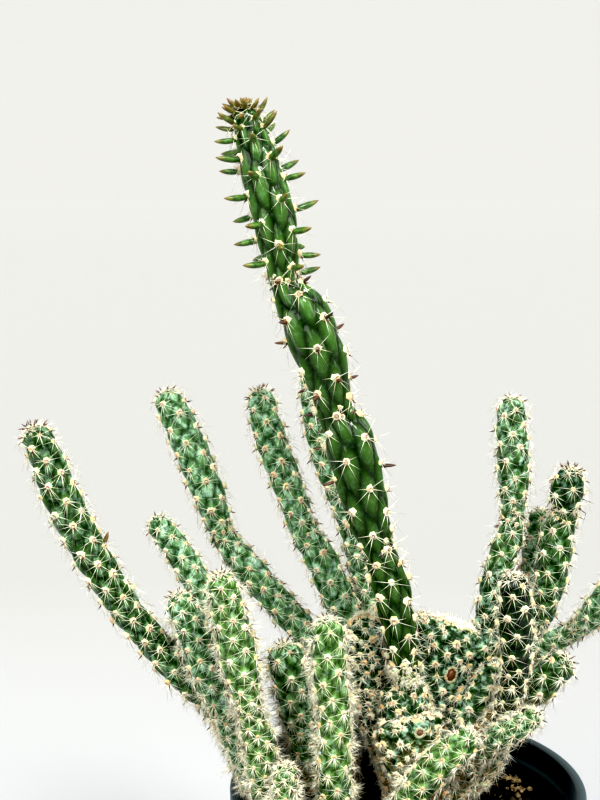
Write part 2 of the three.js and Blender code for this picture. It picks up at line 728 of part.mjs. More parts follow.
// The first areole stands clear of the hole, with the corners under it
function stemMesh({ name, foot, rail }) {
  const CORNERS_BELOW = 2.6;
  const step = SKIN_AREA / edgeLength(rail[0].wide, rail[0].thick);
  const skin = new Skin(rail, name, { ...stemShape, start: foot + CORNERS_BELOW * step });
  return mesh(name, skin.geometry(), DARK_STEMS.includes(name) ? DARK_GREEN : GREEN, 0.55);
}

function crestSolid() {
  const skins = lobes.map((rail, i) => new Skin(rail, "crest", i ? lobeShape : coreShape));
  const joined = skins.map((skin) => solidOf(skin.geometry())).reduce((a, b) => a.add(b));
  const holes = crestStems.map((stem) => holeFor(stem.rail, stem.foot, CREST_REACH));
  return mainBody(holes.reduce((crest, hole) => crest.subtract(hole), joined));
}

const group = new THREE.Group();
group.add(...[...crestStems, ...soilStems].map(stemMesh));
group.add(mesh("crest", geometryOf(crestSolid()), BLUE_GREEN, 0.6));
const standing = [...soilStems.map((stem) => stem.rail), lobes[0]];
const soilHoles = standing.map((rail) => holeFor(rail, SOIL_FOOT, SOIL_REACH));
group.add(mesh("soil", geometryOf(soilSolid(soilHoles)), DARK_BROWN, 0.95));
group.add(mesh("pot", geometryOf(potSolid()), BLACK, 0.45));

export default group;
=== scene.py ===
"""Branching crested cactus in a round nursery pot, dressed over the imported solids.

Shapes are worked out in millimetres, +Z up, as in the part's source, and scaled to metres where a
mesh is made."""
import math
from collections import namedtuple
from itertools import combinations

import bpy
import numpy as np
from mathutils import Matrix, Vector


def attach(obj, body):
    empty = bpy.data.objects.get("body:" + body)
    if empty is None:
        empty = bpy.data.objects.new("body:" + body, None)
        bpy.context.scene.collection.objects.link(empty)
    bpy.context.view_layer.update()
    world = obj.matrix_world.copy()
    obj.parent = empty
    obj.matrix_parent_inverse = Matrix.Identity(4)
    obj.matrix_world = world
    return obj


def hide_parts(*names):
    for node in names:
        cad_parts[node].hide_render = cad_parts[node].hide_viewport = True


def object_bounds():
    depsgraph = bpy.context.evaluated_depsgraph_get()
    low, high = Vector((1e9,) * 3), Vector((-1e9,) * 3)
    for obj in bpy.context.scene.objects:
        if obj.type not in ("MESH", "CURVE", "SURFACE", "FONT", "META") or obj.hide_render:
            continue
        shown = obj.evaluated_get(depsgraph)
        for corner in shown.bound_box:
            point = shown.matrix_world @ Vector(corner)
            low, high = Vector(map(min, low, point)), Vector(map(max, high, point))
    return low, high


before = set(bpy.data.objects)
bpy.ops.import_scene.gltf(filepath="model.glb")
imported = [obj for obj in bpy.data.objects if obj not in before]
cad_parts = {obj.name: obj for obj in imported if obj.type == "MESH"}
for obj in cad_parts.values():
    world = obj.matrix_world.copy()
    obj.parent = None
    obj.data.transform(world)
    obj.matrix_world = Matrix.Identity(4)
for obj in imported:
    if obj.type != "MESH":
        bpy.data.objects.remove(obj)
CAD_BOX = [list(corner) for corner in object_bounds()]

MM = 0.001
TAU = 2 * math.pi
GOLDEN_ANGLE = math.pi * (3 - math.sqrt(5))

# Each stem's line, from its foot up: stations [x, y, z, radius]
SOIL_STEMS = {
    "stem_behind_tall": [
        [4, 42, 116, 5], [-4, 42, 160, 6], [-15, 38, 203, 6.2], [-19, 36, 228, 6.4], [-22, 34, 252, 6.3],
        [-28, 32, 277, 6.5], [-37, 31, 299, 6.5], [-43, 31, 322, 6.4], [-45, 32, 340, 6],
    ],
    "back_left_stem": [
        [-27, 28, 116, 5], [-29, 28, 160, 6.2], [-25, 24, 209, 6.3], [-31, 24, 230, 7], [-41, 27, 254, 7.2],
        [-49, 30, 267, 6.2], [-57, 33, 289, 6.8], [-66, 38, 313, 7], [-70, 41, 329, 6.3],
    ],
    "jointed_left_stem": [
        [-46, 38, 116, 5], [-46, 35, 160, 6.2], [-41, 32, 201, 6.4], [-51, 35, 216, 6.8], [-66, 41, 232, 6.8],
        [-80, 46, 247, 6.9], [-90, 50, 260, 5.6], [-97, 52, 281, 7.5], [-107, 58, 305, 7.8],
        [-116, 61, 324, 6.8],
    ],
    "far_left_stem": [
        [-50, 4, 116, 5], [-60, 3, 133, 5.5], [-71, 2, 147, 5.8], [-77, 1, 160, 6], [-84, -2, 178, 6.2],
        [-93, -6, 194, 5.4], [-105, -12, 210, 7], [-120, -16, 230, 6.7], [-130, -20, 245, 6.8],
        [-145, -26, 274, 7.4], [-156, -32, 301, 7.5], [-162, -36, 322, 6.7], [-165, -38, 330, 6],
    ],
    "short_back_left_stem": [
        [-58, 22, 116, 5], [-62, 24, 140, 5.4], [-78, 26, 171, 5.9], [-87, 28, 200, 5.9], [-97, 32, 229, 6.1],
        [-107, 36, 249, 6.4], [-115, 39, 260, 5.9], [-120, 41, 266, 5.5],
    ],
    "front_left_stem": [
        [-50, -28, 116, 5], [-63, -28, 136, 5.6], [-67, -29, 156, 6], [-70, -32, 185, 6.8],
        [-75, -36, 207, 5.4], [-78, -39, 226, 7.6], [-82, -43, 249, 7.3], [-85, -46, 266, 6],
    ],
    "left_stem": [
        [-58, -12, 116, 5], [-68, -12, 132, 5.2], [-75, -15, 161, 5.3], [-87, -20, 197, 5.6],
        [-94, -22, 217, 6.9], [-100, -24, 237, 6.8], [-105, -26, 250, 5.9],
    ],
    "dark_stem": [
        [-40, 6, 116, 5.2], [-48, 8, 151, 6.3], [-51, 10, 174, 7], [-55, 10, 194, 8.2], [-58, 8, 211, 8.2],
    ],
    "front_stem": [
        [-33, -28, 116, 5.8], [-35, -30, 157, 7.4], [-36, -32, 181, 7.2], [-36, -34, 204, 6.7],
        [-38, -36, 222, 7.3], [-39, -38, 242, 6.4],
    ],
    "front_left_stub": [
        [-48, -46, 116, 5], [-58, -44, 150, 5.5], [-58, -43, 176, 4.9],
    ],
    "front_right_stem": [
        [-14, -33, 116, 5.5], [-9, -34, 143, 6], [0, -37, 163, 6.8], [10, -41, 179, 6.8], [19, -44, 189, 6.3],
        [23, -45, 193, 5.4],
    ],
}
CREST_STEMS = {
    "tall_stem": [
        [0, -4, 186, 5.5], [-3, -6, 215, 6.3], [-8, -8, 246, 8.1], [-12, -9, 260, 7.9], [-16, -10, 272, 7.1],
        [-22, -11, 293, 10], [-29, -12, 322, 10.6], [-35, -12, 336, 7.9], [-43, -11, 363, 10.9],
        [-51, -9, 382, 10.4], [-58, -8, 394, 6.4], [-62, -5, 418, 9.1], [-67, -3, 437, 8.8],
        [-72, 0, 455, 7.2], [-75, 1, 464, 6],
    ],
    "right_tall_stem": [
        [36, 12, 198, 5], [39, 15, 212, 6], [39, 16, 225, 6.5], [43, 18, 249, 6.5], [48, 20, 266, 6.2],
        [50, 21, 277, 5], [50, 24, 299, 7.1], [49, 28, 321, 6.6], [49, 29, 328, 6],
    ],
    "right_jointed_stem": [
        [50, 16, 198, 4.8], [56, 19, 210, 5.2], [64, 21, 226, 5.8], [69, 20, 247, 7], [71, 18, 267, 7.2],
        [74, 17, 282, 5.7], [74, 15, 291, 7.5], [75, 14, 297, 6.6],
    ],
    "right_back_stem": [
        [45, 27, 197, 4.5], [50, 31, 208, 4.7], [56, 34, 218, 4.9], [62, 36, 229, 5.7], [64, 38, 256, 6.1],
        [66, 39, 270, 5.7],
    ],
    "far_right_stem": [
        [46, 8, 195, 4.4], [57, 9, 210, 4.7], [70, 7, 220, 5], [80, 2, 229, 4.5], [88, -8, 243, 6.7],
        [99, -20, 263, 6.8], [104, -29, 281, 6.2], [105, -32, 287, 5.7],
    ],
    "right_stub": [
        [44, -4, 184, 5.5], [52, -5, 195, 6.4], [60, -7, 203, 7.4], [69, -11, 214, 6.6],
    ],
    "front_right_stub": [
        [26, -15, 164, 4.4], [32, -20, 175, 4.7], [42, -27, 188, 5.3], [51, -31, 195, 4.6],
        [54, -32, 198, 4.2],
    ],
    "dark_right_stem": [
        [34, -13, 182, 4.4], [43, -18, 196, 4.9], [47, -22, 216, 5.7], [46, -27, 241, 7.4],
        [44, -32, 261, 5.9],
    ],
}

# The crest's lobes: stations [x, y, z, half width, half thickness], the line that each one spreads along,
# and how square its growing edge is
CREST_FOOT_LINE = [[3, -3, 116, 8, 8], [3, -3, 132, 10, 9], [3, -3, 150, 14, 11], [0, -3, 168, 14, 11]]
CREST_LOBES = {
    "core": (CREST_FOOT_LINE + [[-1, -4, 182, 12, 11], [-2, -5, 195, 11, 10]], (1, 0, 0), 0.6),
    "left": (
        [[1, 0, 140, 7, 7], [-7, 4, 166, 9.5, 7.5], [-15, 5, 191, 10, 7.5], [-19, 5, 213, 9.5, 7.5],
         [-19, 5, 227, 9, 7]],
        (1, 0, 0), 0.7,
    ),
    "right_fan": (
        [[5, 2, 138, 8, 7], [9, 6, 161, 12, 8], [12, 9, 185, 17, 8.5], [15, 11, 205, 21.5, 9],
         [20, 12, 219, 22, 8.5]],
        (0.87, 0, -0.5), 0.45,
    ),
    "front_fan": (
        [[4, -7, 138, 8, 7], [6, -13, 158, 12, 7.5], [2, -15, 174, 15.5, 7.5], [0, -15, 184, 15.5, 7]],
        (1, 0, 0), 0.5,
    ),
    "woolly": (
        [[10, -3, 138, 7, 7], [21, -5, 151, 9, 8], [31, -6, 165, 12, 8.5], [35, -6, 174, 11.5, 8]],
        (0.9, 0, -0.4), 0.6,
    ),
    "knuckle": (
        [[12, 0, 156, 8, 7], [26, 4, 172, 16, 9], [36, 9, 189, 22, 10], [41, 11, 196, 23, 9.5]],
        (0.5, 0.8, 0.2), 0.5,
    ),
}

# Pot and soil, in the sizes of the part's source
POT_HEIGHT = 150
RIM_RADIUS = 85
RIM_WIDTH = 4.8
RIM_SKIRT = 13
BASE_RADIUS = 60
WALL = 1.8
FLOOR = 2.2
LEDGE_HEIGHT = 138
LEDGE_WIDTH = 2
DRAIN_HOLES = 6
DRAIN_RADIUS = 4.5
DRAIN_CIRCLE = 42
SOIL_EDGE = 130
SOIL_MOUND = 134
SOIL_BOTTOM = 2.6
FIT = 0.35


def unit(v):
    """Vectors along the last axis, each brought to length 1."""
    TINY = 1e-12
    return v / np.maximum(np.linalg.norm(v, axis=-1, keepdims=True), TINY)


def wrapped(angle):
    """The same angle, within half a turn of 0."""
    return angle - TAU * np.round(angle / TAU)


def smooth(x, low, high):
    """0 below low, 1 above high and a soft step between them."""
    t = np.clip((x - low) / (high - low), 0, 1)
    return t * t * (3 - 2 * t)


# Rounded bodies along a line


SLICES_A_STATION = 12
DOME_SLICES = 20
DOME_BULGE = 0.92


def along(stations, t):
    """Smooth curve through all values of the stations, at t from 0 to 1."""
    spans = len(stations) - 1
    span = np.minimum((t * spans).astype(int), spans - 1)
    f = (t * spans - span)[:, None]
    a, b, c, d = (stations[np.clip(span + k, 0, spans)] for k in (-1, 0, 1, 2))
    return b + 0.5 * f * (c - a + f * (2 * a - 5 * b + 4 * c - d + f * (3 * (b - c) + d - a)))


def edge_length(wide, thick):
    """Very nearly the length round an ellipse of those half widths."""
    return math.pi * (3 * (wide + thick) - np.sqrt((3 * wide + thick) * (wide + 3 * thick)))


def even_phase(turns, wide, thick):
    """The angles in each row's ellipse at even shares of its edge."""
    MARKS = 97
    if np.allclose(wide, thick):
        return turns
    angles = np.linspace(0, TAU, MARKS)
    phases = np.empty_like(turns)
    for i, (w, t) in enumerate(zip(wide, thick)):
        steps = np.hypot(w * np.diff(np.cos(angles)), t * np.diff(np.sin(angles)))
        marks = np.append(0, np.cumsum(steps))
        phases[i] = np.interp((turns[i] / TAU) % 1 * marks[-1], marks, angles)
    return phases


class Rail:
    """A rounded body: its slices' centres, frames and half widths, and the length m along the skin."""

    def __init__(self, stations, across=None, end_power=1.0):
        THINNEST = 1e-4
        rows = np.array([s if len(s) == 5 else [*s, s[3]] for s in stations], float)
        body = along(rows, np.linspace(0, 1, SLICES_A_STATION * len(rows) + 1))
        centre = body[:, :3]
        ahead = unit(np.vstack([centre[1:], centre[-1:]]) - np.vstack([centre[:1], centre[:-1]]))
        a = np.linspace(0, math.pi / 2, DOME_SLICES + 1)[1:]
        shrink = np.maximum(np.cos(a), THINNEST)
        dome = centre[-1] + ahead[-1] * (body[-1, 4] * DOME_BULGE * np.sin(a))[:, None]
        centre = np.vstack([centre, dome])
        ahead = np.vstack([ahead, np.repeat(ahead[-1:], DOME_SLICES, axis=0)])
        wide = np.append(body[:, 3], body[-1, 3] * shrink**end_power)
        thick = np.append(body[:, 4], body[-1, 4] * shrink)
        if across is None:
            side = unit(np.cross(ahead, [0, 1, 0]))
        else:
            side = unit(np.array(across) - ahead * (ahead @ across)[:, None])
        lift = np.cross(ahead, side)
        gaps = np.linalg.norm(np.diff(centre, axis=0), axis=1)
        self.m = np.append(0, np.cumsum(np.hypot(gaps, np.diff(thick))))
        self.table = np.column_stack([centre, side, lift, wide, thick])
        self.end = self.m[-1]

    def slices(self, m):
        """Centre, side, lift, half width and half thickness at lengths m."""
        i = np.clip(np.searchsorted(self.m, m), 1, len(self.m) - 1)
        f = np.clip((m - self.m[i - 1]) / (self.m[i] - self.m[i - 1]), 0, 1)[:, None]
        row = self.table[i - 1] * (1 - f) + self.table[i] * f
        return row[:, :3], unit(row[:, 3:6]), unit(row[:, 6:9]), row[:, 9], row[:, 10]

    def points(self, m, turns):
        """Points of the bare skin at lengths m, one row each, and turns round it."""
        centre, side, lift, wide, thick = (part[:, None] for part in self.slices(m))
        phase = even_phase(turns, wide[:, 0], thick[:, 0])
        return (
            centre
            + side * (wide * np.cos(phase))[..., None]
            + lift * (thick * np.sin(phase))[..., None]
        )

    def frames(self, m, turns):
        """Points there, with the directions out of the skin, round it and up it."""
        STEP = 0.2
        TURN = 0.02
        low = np.clip(m - STEP, 0, self.end)
        high = np.clip(m + STEP, 0, self.end)
        up = unit(self.points(high, turns) - self.points(low, turns))
        round_ = self.points(m, turns + TURN) - self.points(m, turns - TURN)
        out = unit(np.cross(round_, up))
        return self.points(m, turns), out, np.cross(up, out), up

    def edge(self, m):
        """Length round the skin at lengths m."""
        _, _, _, wide, thick = self.slices(m)
        return edge_length(wide, thick)

    def length_at(self, z):
        """The length m where the centre first reaches height z."""
        heights = self.table[:, 2]
        return float(self.m[np.argmax(heights >= z)])


RAILS = {name: Rail(stations) for name, stations in {**SOIL_STEMS, **CREST_STEMS}.items()}
LOBES = {name: Rail(*lobe) for name, lobe in CREST_LOBES.items()}


# Room for the spines: other bodies, the pot, the soil and the model's own box


def balls_of(rail, owner):
    """Balls that fill a body, as rows [x, y, z, radius, owner's number]."""
    SPACING = 3.0
    ACROSS = (-1, -0.5, 0, 0.5, 1)
    THINNEST = 1e-9
    m = np.arange(0, rail.end, SPACING)
    centre, side, _, wide, thick = rail.slices(m)
    reach = np.maximum(wide - thick, 0)
    rows = []
    for share in ACROSS:
        beside = share * reach / np.maximum(wide, THINNEST)
        radius = np.minimum(wide, thick) * np.sqrt(1 - beside**2)
        place = centre + side * (share * reach)[:, None]
        rows.append(np.column_stack([place, radius, np.full(len(m), owner)]))
    return np.vstack(rows)


BODIES = {**RAILS, **LOBES}
OWNERS = {name: number for number, name in enumerate(BODIES)}
BALLS = np.vstack([balls_of(rail, OWNERS[name]) for name, rail in BODIES.items()])
BOX_LOW, BOX_HIGH = (np.array(corner) / MM for corner in CAD_BOX)
BOX_MARGIN = 0.9
BODY_GAP = 0.4
RIM_GAP = 1.0


def by_others(points, owner, gap):
    """True where a point lies in another body or within that gap of one."""
    others = BALLS[BALLS[:, 4] != owner]
    square = (points**2).sum(1)[:, None] + (others[:, :3] ** 2).sum(1) - 2 * points @ others[:, :3].T
    return (square < (others[:, 3] + gap) ** 2).any(axis=1)


def blocked(points, owner):
    """True where a point lies in another body, the soil or the pot, or outside the model's box."""
    in_body = by_others(points, owner, BODY_GAP)
    reach = np.hypot(points[:, 0], points[:, 1])
    in_soil = (points[:, 2] < SOIL_MOUND) & (reach < RIM_RADIUS - RIM_WIDTH)
    by_wall = reach > RIM_RADIUS - RIM_WIDTH - LEDGE_WIDTH - RIM_GAP
    in_pot = (points[:, 2] < POT_HEIGHT + RIM_GAP) & by_wall
    outside = (points < BOX_LOW + BOX_MARGIN).any(axis=1) | (points > BOX_HIGH - BOX_MARGIN).any(axis=1)
    return in_body | in_soil | in_pot | outside


def drawn_back(roots, ways, reach, owner):
    """How far each line of that reach may go before it would meet something else."""
    SHARES = (0.3, 0.45, 0.6, 0.75, 0.9, 1.0)
    BACK = 0.1
    free = np.ones(len(roots))
    tips = roots + ways * reach[:, None]
    for share in SHARES:
        hit = blocked(roots + (tips - roots) * share, owner)
        free = np.where(hit, np.minimum(free, share - BACK), free)
    return reach * free


# Meshes


class Mass:
    """Vertices, faces and vertex values that are collected for one mesh."""

    def __init__(self):
        self.vertices = []
        self.faces = {3: [], 4: []}
        self.values = {}
        self.count = 0

    def add(self, vertices, faces, **values):
        """Adds vertices, with arrays of triangles or quads and a number or an array for each value."""
        vertices = vertices.reshape(-1, 3)
        self.vertices.append(vertices)
        for block in faces:
            self.faces[block.shape[1]].append(block + self.count)
        for name, value in values.items():
            filled = np.broadcast_to(np.asarray(value, float), (len(vertices),))
            self.values.setdefault(name, []).append(filled)
        self.count += len(vertices)

    def heights(self):
        """The height of each vertex."""
        return np.vstack(self.vertices)[:, 2]

    def mesh(self, name):
        """A Blender mesh of the mass, with its values as attributes."""
        mesh = bpy.data.meshes.new(name)
        blocks = {size: np.vstack(parts) for size, parts in self.faces.items() if parts}
        vertices = np.vstack(self.vertices) * MM
        mesh.vertices.add(len(vertices))
        mesh.vertices.foreach_set("co", vertices.astype(np.float32).ravel())
        corners = np.concatenate([block.ravel() for block in blocks.values()])
        sizes = np.concatenate([np.full(len(block), size) for size, block in blocks.items()])
        mesh.loops.add(len(corners))
        mesh.loops.foreach_set("vertex_index", corners.astype(np.int32))
        mesh.polygons.add(len(sizes))
        mesh.polygons.foreach_set("loop_start", np.append(0, np.cumsum(sizes)[:-1]).astype(np.int32))
        mesh.update(calc_edges=True)
        for key, parts in self.values.items():
            attribute = mesh.attributes.new(key, "FLOAT", "POINT")
            attribute.data.foreach_set("value", np.concatenate(parts).astype(np.float32))
        return mesh

    def build(self, name, node, slot, material, soft=True):
        """One object of the mass, which rides on the frame and replaces its node."""
        mesh = self.mesh(name)
        if soft:
            mesh.shade_smooth()
        mesh.materials.append(material)
        piece = bpy.data.objects.new(name, mesh)
        bpy.context.scene.collection.objects.link(piece)
        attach(piece, "root")
        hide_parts(node)
        return piece


def grid_faces(rows, columns):
    """Quads of a grid of rows that closes round its columns."""
    i = np.arange(rows - 1)[:, None] * columns
    j = np.arange(columns)
    k = (j + 1) % columns
    quads = np.stack([i + j, i + k, i + columns + k, i + columns + j], axis=-1)
    return quads.reshape(-1, 4)


def fan_faces(first, columns, pole, up):
    """Triangles from a ring of vertices to a pole."""
    j = first + np.arange(columns)
    k = first + (np.arange(columns) + 1) % columns
    ends = np.full(columns, pole)
    return np.column_stack([j, k, ends] if up else [k, j, ends])


def closed_faces(rows, columns):
    """Faces of a round grid whose last two vertices are the poles at its foot and at its top."""
    count = rows * columns
    return [
        grid_faces(rows, columns),
        fan_faces(0, columns, count, False),
        fan_faces(count - columns, columns, count + 1, True),
    ]


def tubes(mass, centres, radii, side, sides, flat=1.0, **values):
    """Thin closed bodies along lines of points (N, K, 3), with radii (N, K), that end in a point.

    The vertex value "reach" runs from 0 at the root to 1 at the tip."""
    count, rings, _ = centres.shape
    if not count:
        return
    ahead = unit(np.gradient(centres, axis=1))
    across = unit(side[:, None] - ahead * (side[:, None] * ahead).sum(-1, keepdims=True))
    third = np.cross(ahead, across)
    angle = np.arange(sides) * TAU / sides
    ring = (
        centres[:, :-1, None]
        + radii[:, :-1, None, None] * np.cos(angle)[:, None] * across[:, :-1, None]
        + flat * radii[:, :-1, None, None] * np.sin(angle)[:, None] * third[:, :-1, None]
    )
    each = (rings - 1) * sides + 1
    vertices = np.concatenate([ring.reshape(count, -1, 3), centres[:, -1:]], axis=1)
    base = np.arange(count)[:, None, None] * each
    quads = grid_faces(rings - 1, sides)
    tip = fan_faces((rings - 2) * sides, sides, each - 1, True)
    foot = np.column_stack([np.zeros(sides - 2, int), np.arange(2, sides), np.arange(1, sides - 1)])
    faces = [(base + tip).reshape(-1, 3), (base + foot).reshape(-1, 3)]
    if rings > 2:
        faces.append((base + quads).reshape(-1, 4))
    reach = np.append(np.repeat(np.linspace(0, 1, rings)[:-1], sides), 1.0)
    spread = {key: np.repeat(np.broadcast_to(value, (count,)), each) for key, value in values.items()}
    mass.add(vertices, faces, reach=np.tile(reach, count), **spread)


def spikes(mass, roots, ways, length, width, bend, rng, **values):
    """Tapered four-sided spikes from roots along ways, each bent a little to one side."""
    MIDDLE = 0.36
    count = len(roots)
    sway = unit(np.cross(ways, rng.normal(size=(count, 3))))
    length = np.broadcast_to(length, (count,))[:, None]
    width = np.broadcast_to(width, (count,))
    middle = roots + ways * length * 0.5 + sway * (bend * length)
    centres = np.stack([roots, middle, roots + ways * length], axis=1)
    radii = np.stack([width / 2, width * MIDDLE, width * 0], axis=1)
    tubes(mass, centres, radii, sway, sides=4, **values)


def hairs(mass, roots, ways, length, width, rng, **values):
    """Short straight three-sided hairs."""
    count = len(roots)
    if not count:
        return
    side = unit(np.cross(ways, rng.normal(size=(count, 3))))
    centres = np.stack([roots, roots + ways * np.broadcast_to(length, (count,))[:, None]], axis=1)
    radii = np.stack([np.broadcast_to(width / 2, (count,)), np.zeros(count)], axis=1)
    tubes(mass, centres, radii, side, sides=3, **values)


# Areoles


# The width of an areole's cell at which its relief, wool and leaves have their full size
FULL_CELL = 9


class Areoles:
    """Areoles up a body, each one golden angle on, at an even area and crowded at the tip.

    area_of gives the area of one from its height and the body's half thickness there. jitter moves
    them off their even places by that share of their spacing."""

    def __init__(self, rail, area_of, crowding, jitter, rng):
        START = 2.0
        LOWEST = 0.5
        TIP_GAP = 0.9
        self.rail = rail
        m, places, steps = START, [], []
        while rail.end - m > TIP_GAP:
            centre, _, _, wide, thick = rail.slices(np.array([m]))
            area = area_of(float(centre[0, 2]), float(thick[0]))
            step = min(area / float(edge_length(wide, thick)[0]), crowding * (rail.end - m))
            places.append(m)
            steps.append(step)
            m += step
        self.m = np.array(places)
        edge = rail.edge(self.m)
        self.cell = np.sqrt(np.array(steps) * edge)
        shift = rng.normal(0, jitter, (2, len(places))) * self.cell
        self.turn = np.arange(len(places)) * GOLDEN_ANGLE + shift[0] / edge * TAU
        self.m = np.clip(self.m + shift[1], LOWEST, rail.end - TIP_GAP / 2)


# The relief of a skin: how far it lies in, swells under an areole and is grooved, in millimetres. Then how
# wide its grooves are and how far a swelling hangs below its areole, as shares of the areole's cell, and
# the width of a swelling over its length
Shape = namedtuple("Shape", "sink swell groove soft drop stretch")


def relief(areoles, m, turns, shape):
    """The skin's height over the bare body at lengths m and turns, and how near grooves and crowns are."""
    CROWN_REACH = 0.75
    LARGEST = 1.15
    edge = areoles.rail.edge(m)[:, None, None]
    across = wrapped(turns[:, :, None] - areoles.turn) * edge / TAU
    ahead = (m[:, None, None] - (areoles.m - shape.drop * areoles.cell)) * shape.stretch
    gap = np.hypot(across, ahead)
    nearest = np.argmin(gap, axis=2)
    two = np.partition(gap, 1, axis=2)
    cell = areoles.cell[nearest]
    border = (two[:, :, 1] - two[:, :, 0]) / cell
    groove = np.exp(-border / shape.soft)
    share = np.minimum(two[:, :, 0] / (CROWN_REACH * cell), 1)
    small = np.minimum(cell / FULL_CELL, LARGEST)
    crown = 1 - share**2
    return small * (shape.swell * crown - shape.groove * groove - shape.sink), groove, crown


def skin(mass, rail, areoles, shape, row, column, **values):
    """A body's skin as a fine grid, closed at both ends."""
    TIP_GAP = 0.35
    TIP_FADE = 3
    SAMPLES = 30
    BELOW_TIP = 0.9
    rows = int((rail.end - TIP_GAP) / row) + 1
    m = np.linspace(0, rail.end - TIP_GAP, rows)
    columns = int(rail.edge(np.linspace(0, rail.end * BELOW_TIP, SAMPLES)).max() / column)
    turns = np.tile(np.arange(columns) * TAU / columns, (rows, 1))
    points, out, _, _ = rail.frames(m, turns)
    height, groove, crown = relief(areoles, m, turns, shape)
    height = height * smooth(rail.end - m, 0, TIP_FADE)[:, None]
    body = (points + out * height[..., None]).reshape(-1, 3)
    ends = rail.slices(np.array([0, rail.end]))[0]
    groove = np.append(groove.ravel(), [1, 0])
    crown = np.append(crown.ravel(), [0, 1])
    faces = closed_faces(rows, columns)
    mass.add(np.vstack([body, ends]), faces, groove=groove, crown=crown, **values)


class Places:
    """Places on a skin where wool, spines and leaves grow, with their directions and size."""

    def __init__(self, rail, m, turn, size, raised=0.0):
        point, out, round_, up = (part[:, 0] for part in rail.frames(m, turn[:, None]))
        self.point = point + out * np.reshape(raised, (-1, 1))
        self.out, self.round, self.up = out, round_, up
        self.size = size
        self.to_tip = rail.end - m

    def __len__(self):
        return len(self.size)

    def pick(self, chosen):
        """The places of a mask, a slice or an array of numbers."""
        picked = object.__new__(Places)
        for key, value in vars(self).items():
            setattr(picked, key, value[chosen])
        return picked

    def lean(self, swing, lift):
        """Directions that swing round each place, from 0 straight down the stem, and lift off the skin."""
        down = -np.cos(swing)[..., None] * self.up[:, None] + np.sin(swing)[..., None] * self.round[:, None]
        return unit(down * np.cos(lift)[..., None] + self.out[:, None] * np.sin(lift)[..., None])


def scattered(rail, m, sizes, rng):
    """Places at lengths m and any turn, with sizes in that range."""
    return Places(rail, m, rng.uniform(0, TAU, len(m)), rng.uniform(*sizes, len(m)))


def areole_places(areoles, shape, owner):
    """The areoles that lie outside the other bodies."""
    PROUD = 1.5
    LARGEST = 1.1
    turn = areoles.turn[:, None]
    height, _, _ = relief(areoles, areoles.m, turn, shape)
    size = np.minimum(areoles.cell / FULL_CELL, LARGEST)
    places = Places(areoles.rail, areoles.m, areoles.turn, size, height)
    return places.pick(~blocked(places.point + places.out * PROUD, owner))


class Growth:
    """What grows on a node: the masses of its wool, spines and leaves, and its random draws.

    owner is the number of the body that it grows on just now."""

    def __init__(self, seed, owner=None):
        self.rng = np.random.default_rng(seed)
        self.owner = owner
        self.felt, self.needles, self.leaves = Mass(), Mass(), Mass()

    def build(self, node, leaves):
        """The three objects of a node. leaves is the name of the last."""
        self.felt.build(node + "_wool", node, "wool", WOOL)
        self.needles.build(node + "_spines", node, "spines", SPINES)
        self.leaves.build(leaves, node, "leaves", LEAVES)


# Wool: a dome's half width and height in millimetres, and the range of its tone, from -1 for white
# through 0 for cream to 1 for ochre
Tuft = namedtuple("Tuft", "radius height tones")

DOME_ANGLES = np.radians([30, 68, 112])
DOME_SIDES = 6
FUZZ = 13


def domes(mass, places, tuft, rng):
    """An uneven felted dome at each place. Returns the tone of each."""
    UNEVEN = 0.17
    SIZES = (0.85, 1.15)
    LEVEL = 1.57
    CORE = 0.9
    count = len(places)
    around = np.arange(DOME_SIDES) * TAU / DOME_SIDES
    lumps = rng.normal(1, UNEVEN, (count, len(DOME_ANGLES), DOME_SIDES))
    polar = DOME_ANGLES[:, None]
    scale = (places.size * rng.uniform(*SIZES, count))[:, None, None, None]
    arm = (
        np.cos(around)[:, None] * places.round[:, None, None]
        + np.sin(around)[:, None] * places.up[:, None, None]
    )
    wide = (tuft.radius * lumps * np.sin(polar))[..., None]
    high = (tuft.height * lumps * np.cos(polar))[..., None]
    ring = places.point[:, None, None] + scale * (arm * wide + places.out[:, None, None] * high)
    rise = scale[:, 0, 0] * places.out * tuft.height
    ends = [(places.point + rise)[:, None], (places.point - rise)[:, None]]
    rings = len(DOME_ANGLES)
    each = rings * DOME_SIDES + 2
    base = np.arange(count)[:, None, None] * each
    faces = [
        (base + grid_faces(rings, DOME_SIDES)[:, ::-1]).reshape(-1, 4),
        (base + fan_faces(0, DOME_SIDES, each - 2, False)).reshape(-1, 3),
        (base + fan_faces((rings - 1) * DOME_SIDES, DOME_SIDES, each - 1, True)).reshape(-1, 3),
    ]
    core = np.append(np.repeat(1 - np.sin(np.minimum(DOME_ANGLES, LEVEL)), DOME_SIDES), [1, 0])
    tone = rng.uniform(*tuft.tones, count)
    vertices = np.concatenate([ring.reshape(count, -1, 3), *ends], axis=1)
    mass.add(vertices, faces, core=np.tile(core, count) * CORE, tone=np.repeat(tone, each), reach=0)
    return tone


